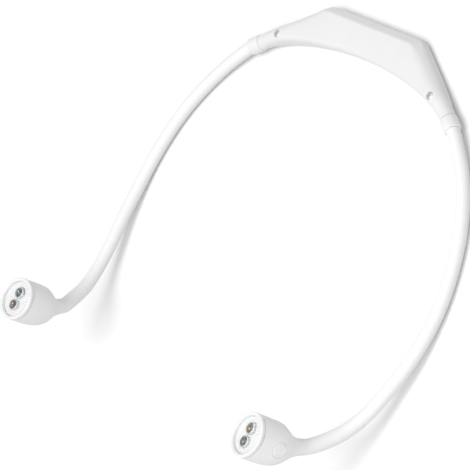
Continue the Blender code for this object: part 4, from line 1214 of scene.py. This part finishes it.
DOME = BOWL - 0.12
DOME_LOW, DOME_RISE = -0.48, 0.3
dome_steps = [(DOME - 0.13, -1.1), (DOME, -1.0)]
for angle in (0, 12, 25, 38, 52, 66, 80):
    turn = math.radians(angle)
    dome_steps.append((DOME * math.cos(turn), DOME_LOW + DOME_RISE * math.sin(turn)))
dome = turned("dome", dome_steps, sides=48)
print("bowls are", round(2 * BOWL, 2), "mm wide and domes", round(2 * DOME, 2))


# %% Chips, and all lamps in their places
def round_edges(piece, width):
    """Rounds every sharp edge by a width in mm."""
    return modify(
        piece, "BEVEL", width=width * MM, segments=2, limit_method="ANGLE", angle_limit=math.radians(35)
    )


chip_place = Vector((0.3, -0.35, -0.23)) * MM
chip_size = Vector((0.9, 0.7, 0.1)) * MM
deselect_all()
bpy.ops.mesh.primitive_cube_add(size=1, location=chip_place, scale=chip_size)
chip = round_edges(settle(bpy.context.object), 0.035)
looks = {"cool": (cool_dome, cool_chip), "warm": (warm_dome, warm_chip)}
for word, place in cup_places.items():
    dome_look, chip_look = looks[word]
    for piece, name, material in (
        (bowl, "bowl", white_reflector),
        (chip, "chip", chip_look),
        (dome, "dome", dome_look),
    ):
        double = settle(copy_of(piece, name), place)
        on_heads(double, f"{word}_{name}", material, [f"{word}_led"], angle=40)
for piece in (bowl, chip, dome):
    bpy.data.objects.remove(piece, do_unlink=True)
print("four lamps in place")

# %% [markdown]
# ## Rear housing
#
# The housing is a bow: its rear edge runs straight and then drops to each side, its inner edge is
# hollowed to the neck, and a slanted strip runs along the rear of its face. Towards the arms its
# section melts into the round of the collars. A loft makes such a body: a section is laid down at many
# places, each with its corners rounded to its own radius, and all are bridged into one skin.

# %% Edges of the housing as seen from above
SEAM_RADIUS = 3.75 * MM
SEAM_SIDE = Vector((-COLLAR_AXIS.y, COLLAR_AXIS.x, 0))
OUTER_END = SEAM + SEAM_SIDE * SEAM_RADIUS
INNER_END = SEAM - SEAM_SIDE * SEAM_RADIUS
DEPTH = 17.3 * MM
HEIGHT = 9.8 * MM
BEND = 11 * MM
BOW = 9.3 * MM
HOOK_POWER = 8


def rear_edge(share):
    """Straight, then a bend, then straight down to the collar."""
    corner_x = OUTER_END.x - (DEPTH / 2 - OUTER_END.y) / math.tan(COLLAR_ANGLE)
    reach = BEND * math.tan(COLLAR_ANGLE / 2)
    straight = corner_x - reach
    bend = BEND * COLLAR_ANGLE
    slope = (OUTER_END.xy - Vector((corner_x, DEPTH / 2))).length - reach
    distance = share * (straight + bend + slope)
    if distance < straight:
        return Vector((distance, DEPTH / 2, 0))
    if distance < straight + bend:
        angle = (distance - straight) / BEND
        along_x = straight + BEND * math.sin(angle)
        return Vector((along_x, DEPTH / 2 - BEND + BEND * math.cos(angle), 0))
    return Vector((OUTER_END.x, OUTER_END.y, 0)) - COLLAR_AXIS * (straight + bend + slope - distance)


def neck_edge(share):
    """Hollow, and hooked towards the collar at its end."""
    hook = -INNER_END.y - DEPTH / 2 - BOW
    return Vector((share * INNER_END.x, -DEPTH / 2 - BOW * share**2 - hook * share**HOOK_POWER, 0))


print("housing is", round(2 * OUTER_END.x / MM, 1), "mm wide between the collars")

# %% [markdown]
# Three things change along the bow. Its section tapers into the collar's circle, its height sinks to
# the collar's, and the creases of the strip are crisp at the middle of the bow and soft further out.
# Each is a ramp with its own start and length, as shares of half the width.

# %% One section of the housing
STRIP_RUN, STRIP_DROP = 3.5 * MM, 4.2 * MM
UNDER_ROUND, FACE_ROUND = 2.2 * MM, 2.6 * MM
CRISP, SOFT = 1.6, 5.0
TAPER = (0.62, 0.38)
SINK = (0.80, 0.20)
SOFTEN = (0.40, 0.12)


def ramp(share, start, length):
    return ease((share - start) / length)


def between(first, second, share):
    return first + (second - first) * share


def section(share):
    """Its two edge points and its corners as (across, up, rounding, turn), the turn in radians."""
    outer, inner = rear_edge(share), neck_edge(share)
    depth = (outer - inner).length
    taper = ramp(share, *TAPER)
    height = between(HEIGHT, 2 * SEAM_RADIUS, ramp(share, *SINK))
    base = HEIGHT / 2 - height / 2
    top = base + height
    chamfer = SEAM_RADIUS * (2 - math.sqrt(2))
    run = between(STRIP_RUN, chamfer, taper)
    drop = between(STRIP_DROP, chamfer, taper)
    under = between(UNDER_ROUND, SEAM_RADIUS, taper)
    crease = between(between(CRISP, SOFT, ramp(share, *SOFTEN)) * MM, SEAM_RADIUS, taper)
    turn = math.atan2(drop, run)
    face = min(between(FACE_ROUND, SEAM_RADIUS, taper), depth - run - crease * math.tan(turn / 2))
    corners = (
        (0, base, under, math.pi / 2),
        (depth, base, under, math.pi / 2),
        (depth, top - drop, crease, math.pi / 2 - turn),
        (depth - run, top, crease, turn),
        (0, top, face, math.pi / 2),
    )
    return inner, outer, corners, drop, run


print("the middle section is", round((rear_edge(0) - neck_edge(0)).length / MM, 1), "mm deep")

# %% [markdown]
# Each section starts as an upright plane. Its rear top corner is bevelled into the slanted strip, then
# each of its five corners is rounded by bevelling that one vertex. Finished sections are hidden, so
# that only the new one can be picked.

# %% Lay down one section
# A vertex closer to a corner's place than this is that corner
HAIR = 0.001 * MM


def add_section(share, steps):
    """Adds the section at a share of the half width to the mesh that is open in edit mode."""
    side = -1 if share < 0 else 1
    inner, outer, corners, drop, run = section(abs(share))
    inner, outer = (Vector((point.x * side, point.y, 0)) for point in (inner, outer))
    across = (outer - inner).normalized()
    depth = corners[1][0]
    base, top = corners[0][1], corners[4][1]
    height = top - base

    def pick_corner(far, up):
        place = inner + across * far + Vector((0, 0, up))
        pick(lambda point: (point - place).length < HAIR)

    bpy.ops.mesh.primitive_plane_add(
        size=height,
        location=inner + across * height / 2 + Vector((0, 0, base + height / 2)),
        rotation=(math.pi / 2, 0, math.atan2(across.y, across.x)),
    )
    pick(lambda point: (point - inner).dot(across) > height / 2)
    bpy.ops.transform.translate(value=across * (depth - height))
    pick_corner(depth, top)
    bpy.ops.mesh.bevel(offset=drop, segments=1, affect="VERTICES", clamp_overlap=False)
    pick_corner(depth - drop, top)
    bpy.ops.transform.translate(value=across * (drop - run))
    for far, up, rounding, turn in corners:
        pick_corner(far, up)
        offset = rounding * math.tan(turn / 2)
        bpy.ops.mesh.bevel(
            offset=offset, segments=steps, profile=0.5, affect="VERTICES", clamp_overlap=False
        )
    pick(lambda point: True)
    bpy.ops.mesh.hide()


# %% Loft the housing
SECTIONS = 36
CORNER_STEPS = 5
deselect_all()
bpy.ops.mesh.primitive_plane_add(size=1)
housing = bpy.context.object
housing.name = "housing"
enter(housing)
bpy.ops.mesh.select_all(action="SELECT")
bpy.ops.mesh.delete(type="VERT")
for index in range(-SECTIONS, SECTIONS + 1):
    add_section(index / SECTIONS, CORNER_STEPS)
bpy.ops.mesh.reveal()
bpy.ops.mesh.select_all(action="SELECT")
bpy.ops.mesh.delete(type="ONLY_FACE")
bpy.ops.mesh.select_all(action="SELECT")
bpy.ops.mesh.bridge_edge_loops(type="SINGLE")
bpy.ops.mesh.select_all(action="SELECT")
bpy.ops.mesh.fill_holes(sides=0)
leave()
heal(housing)
print("loft has", len(housing.data.vertices), "vertices and", len(housing.data.polygons), "faces")

# %% [markdown]
# ## Covers
#
# The solid bow becomes two thin shells. It is parted along its middle height into the cover that shows
# its face and the one that lies against the neck, with a fine gap between them. A copy of the bow, shrunk
# by the wall and cut short at both ends, is then taken out of each half as its hollow. The halves are
# parted while they are still solid, since a cut through a thin shell is more easily spoilt.

# %% The hollow
WALL = 1.3 * MM
SOLID_END = 8.6 * MM
hollow = copy_of(housing, "hollow")
enter(hollow)
bpy.ops.mesh.select_all(action="SELECT")
bpy.ops.transform.shrink_fatten(value=-WALL, use_even_offset=True)
for seam, sign in ((SEAM, 1), (mirrored(SEAM), -1)):
    axis = Vector((COLLAR_AXIS.x * sign, COLLAR_AXIS.y, 0))
    bpy.ops.mesh.select_all(action="SELECT")
    bpy.ops.mesh.bisect(plane_co=seam - axis * SOLID_END, plane_no=axis, use_fill=True, clear_outer=True)
leave()
heal(hollow)
print("wall is", WALL / MM, "mm thick")


# %% Part it into two covers
PARTING, GAP = 4.9, 0.12
SLAB_WIDTH, SLAB_DEPTH = 200 * MM, 100 * MM


def slab(low, high):
    """A wide block between two heights in mm, to cut one cover away from the other."""
    deselect_all()
    middle = (0, -10 * MM, (low + high) / 2 * MM)
    size = (SLAB_WIDTH, SLAB_DEPTH, (high - low) * MM)
    bpy.ops.mesh.primitive_cube_add(size=1, location=middle, scale=size)
    return settle(bpy.context.object)


back_cover = housing
front_cover = copy_of(housing, "front_cover")
cut(back_cover, slab(-10, PARTING + GAP / 2))
cut(front_cover, slab(PARTING - GAP / 2, 20))
cut(back_cover, copy_of(hollow, "back_hollow"))
cut(front_cover, hollow)
print("covers have", len(back_cover.data.polygons), "and", len(front_cover.data.polygons), "faces")

# %% [markdown]
# Inside, the face cover carries a boss under each screw and the neck cover a post that meets it. The
# shells also share a few openings at the parting line: the pockets for the collars, the passage for the
# wire, the mouth of the charging socket on the inner edge and the hole of its little lamp. Each opening
# is cut from both covers with a tool of its own.

# %% Bosses, posts and screw recesses
SCREW = Vector((55.5, -12.6, 0)) * MM
# Radius, low end and high end of each round form, in mm
BOSS = (2.4, 5.2, 8.7)
POST = (1.6, 0.6, 4.6)
PASSAGE = (0.85, -1.0, 12.0)
PILOT = (0.85, 2.1, 12.0)
recess_steps = [(1.8, 7.9)] + arc((2.0, 9.6), 0.2, 180, 110, 5) + [(2.08, 9.95), (2.08, 12.0)]
recess = turned("recess", recess_steps)
for sign in SIDES.values():
    place = Matrix.Translation((SCREW.x * sign, SCREW.y, 0))
    cut(back_cover, rod("boss", *BOSS, place), "UNION")
    cut(front_cover, rod("post", *POST, place), "UNION")
    cut(back_cover, settle(copy_of(recess, "recess"), place))
    cut(back_cover, rod("passage", *PASSAGE, place))
    cut(front_cover, rod("pilot", *PILOT, place))
bpy.data.objects.remove(recess, do_unlink=True)
print("screw recesses cut")

# %% The mouth of the charging socket
SOCKET_ROOM = 0.3 * MM
SOCKET_CORNER = 1.45 * MM
OUTWARD = 4 * MM


def socket_mouth():
    """A rounded block, a little larger than the socket, reaching out through the inner edge."""
    low, high = (Vector(corner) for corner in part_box("usb_socket"))
    size = high - low + Vector((2 * SOCKET_ROOM, OUTWARD, 2 * SOCKET_ROOM))
    middle = (low + high) / 2 - Vector((0, OUTWARD / 2, 0))
    deselect_all()
    bpy.ops.mesh.primitive_cube_add(size=1, location=middle, scale=size)
    mouth = settle(bpy.context.object)
    enter(mouth)
    shape = bmesh.from_edit_mesh(mouth.data)
    bpy.ops.mesh.select_all(action="DESELECT")
    bpy.ops.mesh.select_mode(type="EDGE")
    # Only the four edges that run along Y are rounded
    for edge in shape.edges:
        first, second = (vertex.co for vertex in edge.verts)
        edge.select_set(abs((first - second).normalized().y) > 0.9)
    bmesh.update_edit_mesh(mouth.data)
    bpy.ops.mesh.bevel(offset=SOCKET_CORNER, segments=8, affect="EDGES", clamp_overlap=False)
    leave()
    return mouth


# %% Openings that both covers share
def collar_frame(side):
    """Z leaves the housing along the collar's axis."""
    axis = Vector((COLLAR_AXIS.x * side, COLLAR_AXIS.y, 0))
    turn = Vector((0, 0, 1)).rotation_difference(axis).to_matrix().to_4x4()
    return Matrix.Translation((SEAM.x * side, SEAM.y, SEAM.z)) @ turn


COLLAR_ROOM = 2.7
PIPE_HOLE = (1.1, -3.0, 4.0)
way_steps = [(WIRE_ROOM, -9.8), (WIRE_ROOM, -4.3), (COLLAR_ROOM, -4.3), (COLLAR_ROOM, 2.0)]
pipe_low, pipe_high = (Vector(corner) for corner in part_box("charge_light_pipe"))
pipe_middle = (pipe_low + pipe_high) / 2
pipe_mouth = Matrix.Translation(Vector((pipe_middle.x, pipe_low.y, pipe_middle.z)))
pipe_mouth = pipe_mouth @ Matrix.Rotation(-math.pi / 2, 4, "X")
for cover in (back_cover, front_cover):
    for sign in SIDES.values():
        way = turned("collar_pocket_and_wire_way", way_steps, sides=44)
        cut(cover, settle(way, collar_frame(sign)))
    cut(cover, socket_mouth())
    cut(cover, rod("pipe_hole", *PIPE_HOLE, pipe_mouth))
    heal(cover)

for cover, name in ((back_cover, "back_cover"), (front_cover, "front_cover")):
    smooth(named(cover, f"{name}_shell", white_cover), angle=28)
    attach(cover, "base")
    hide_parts(name)
print("covers done:", len(back_cover.data.polygons), "and", len(front_cover.data.polygons), "faces")

# %% [markdown]
# ## Collars and screws
#
# A collar a little wider than the arm closes each end of the housing. It is turned with a spigot that
# sits in the covers. The screws are turned too, with a low domed head, and a cross is cut into them.

# %% Collars
collar_steps = [(WIRE_ROOM, -4.0), (2.3, -4.0), (2.4, -3.9), (2.4, 0.2), (3.55, 0.2)]
collar_steps += arc((3.55, 0.65), 0.45, -90, 0, 5)[1:]
collar_steps += arc((3.3, 6.15), 0.7, 0, 90, 6)
collar_steps += [(3.2, 6.85), (WIRE_ROOM, 6.85), (WIRE_ROOM, -4.0)]
collar = turned("collar", collar_steps, sides=72, filled=False)
for side, sign in SIDES.items():
    double = settle(copy_of(collar, "collar"), collar_frame(sign))
    smooth(named(double, f"{side}_collar_ring", white_collar), angle=30)
    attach(double, "base")
    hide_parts(f"{side}_collar")
bpy.data.objects.remove(collar, do_unlink=True)
print("collars have", len(double.data.polygons), "faces")

# %% Screws
HEAD_RISE = 0.42
SHANK = 0.65
CROSS_LONG, CROSS_WIDE, CROSS_DEEP = 1.9, 0.46, 1.1
screw_low, screw_high = (Vector(corner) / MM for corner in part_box("right_cover_screw"))
tip = screw_low.z
top = screw_high.z + HEAD_RISE
screw_steps = [(0.35, tip), (0.6, tip + 0.7), (SHANK, tip + 0.9), (SHANK, top - 1.0)]
screw_steps += [(1.5, top - 1.0), (1.64, top - 0.9), (1.66, top - 0.5), (1.55, top - 0.28)]
screw_steps += [(1.2, top - 0.12), (0.7, top - 0.03), (0.3, top)]
screw = turned("screw", screw_steps, sides=48)
for width, depth in ((CROSS_LONG, CROSS_WIDE), (CROSS_WIDE, CROSS_LONG)):
    deselect_all()
    size = (width * MM, depth * MM, CROSS_DEEP * MM)
    bpy.ops.mesh.primitive_cube_add(size=1, location=(0, 0, top * MM), scale=size)
    cut(screw, round_edges(settle(bpy.context.object), 0.06))
for side, sign in SIDES.items():
    double = settle(copy_of(screw, "screw"), Matrix.Translation((SCREW.x * sign, SCREW.y, 0)))
    smooth(named(double, f"{side}_screw", screw_steel), angle=30)
    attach(double, "base")
    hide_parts(f"{side}_cover_screw")
bpy.data.objects.remove(screw, do_unlink=True)
print("screw heads at", round(top, 2), "mm")

# %% [markdown]
# ## The size of the dressed light
#
# The dressed light must stay inside the box of its frame. The sizes of both boxes are printed.

# %% Size and finish
new_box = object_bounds()
sizes = {
    "frame": [[float(v) for v in corner] for corner in cad_box],
    "dressed": [[float(v) for v in corner] for corner in new_box],
}
for word, box in sizes.items():
    print(word, [round((high - low) / MM, 2) for low, high in zip(*box)])
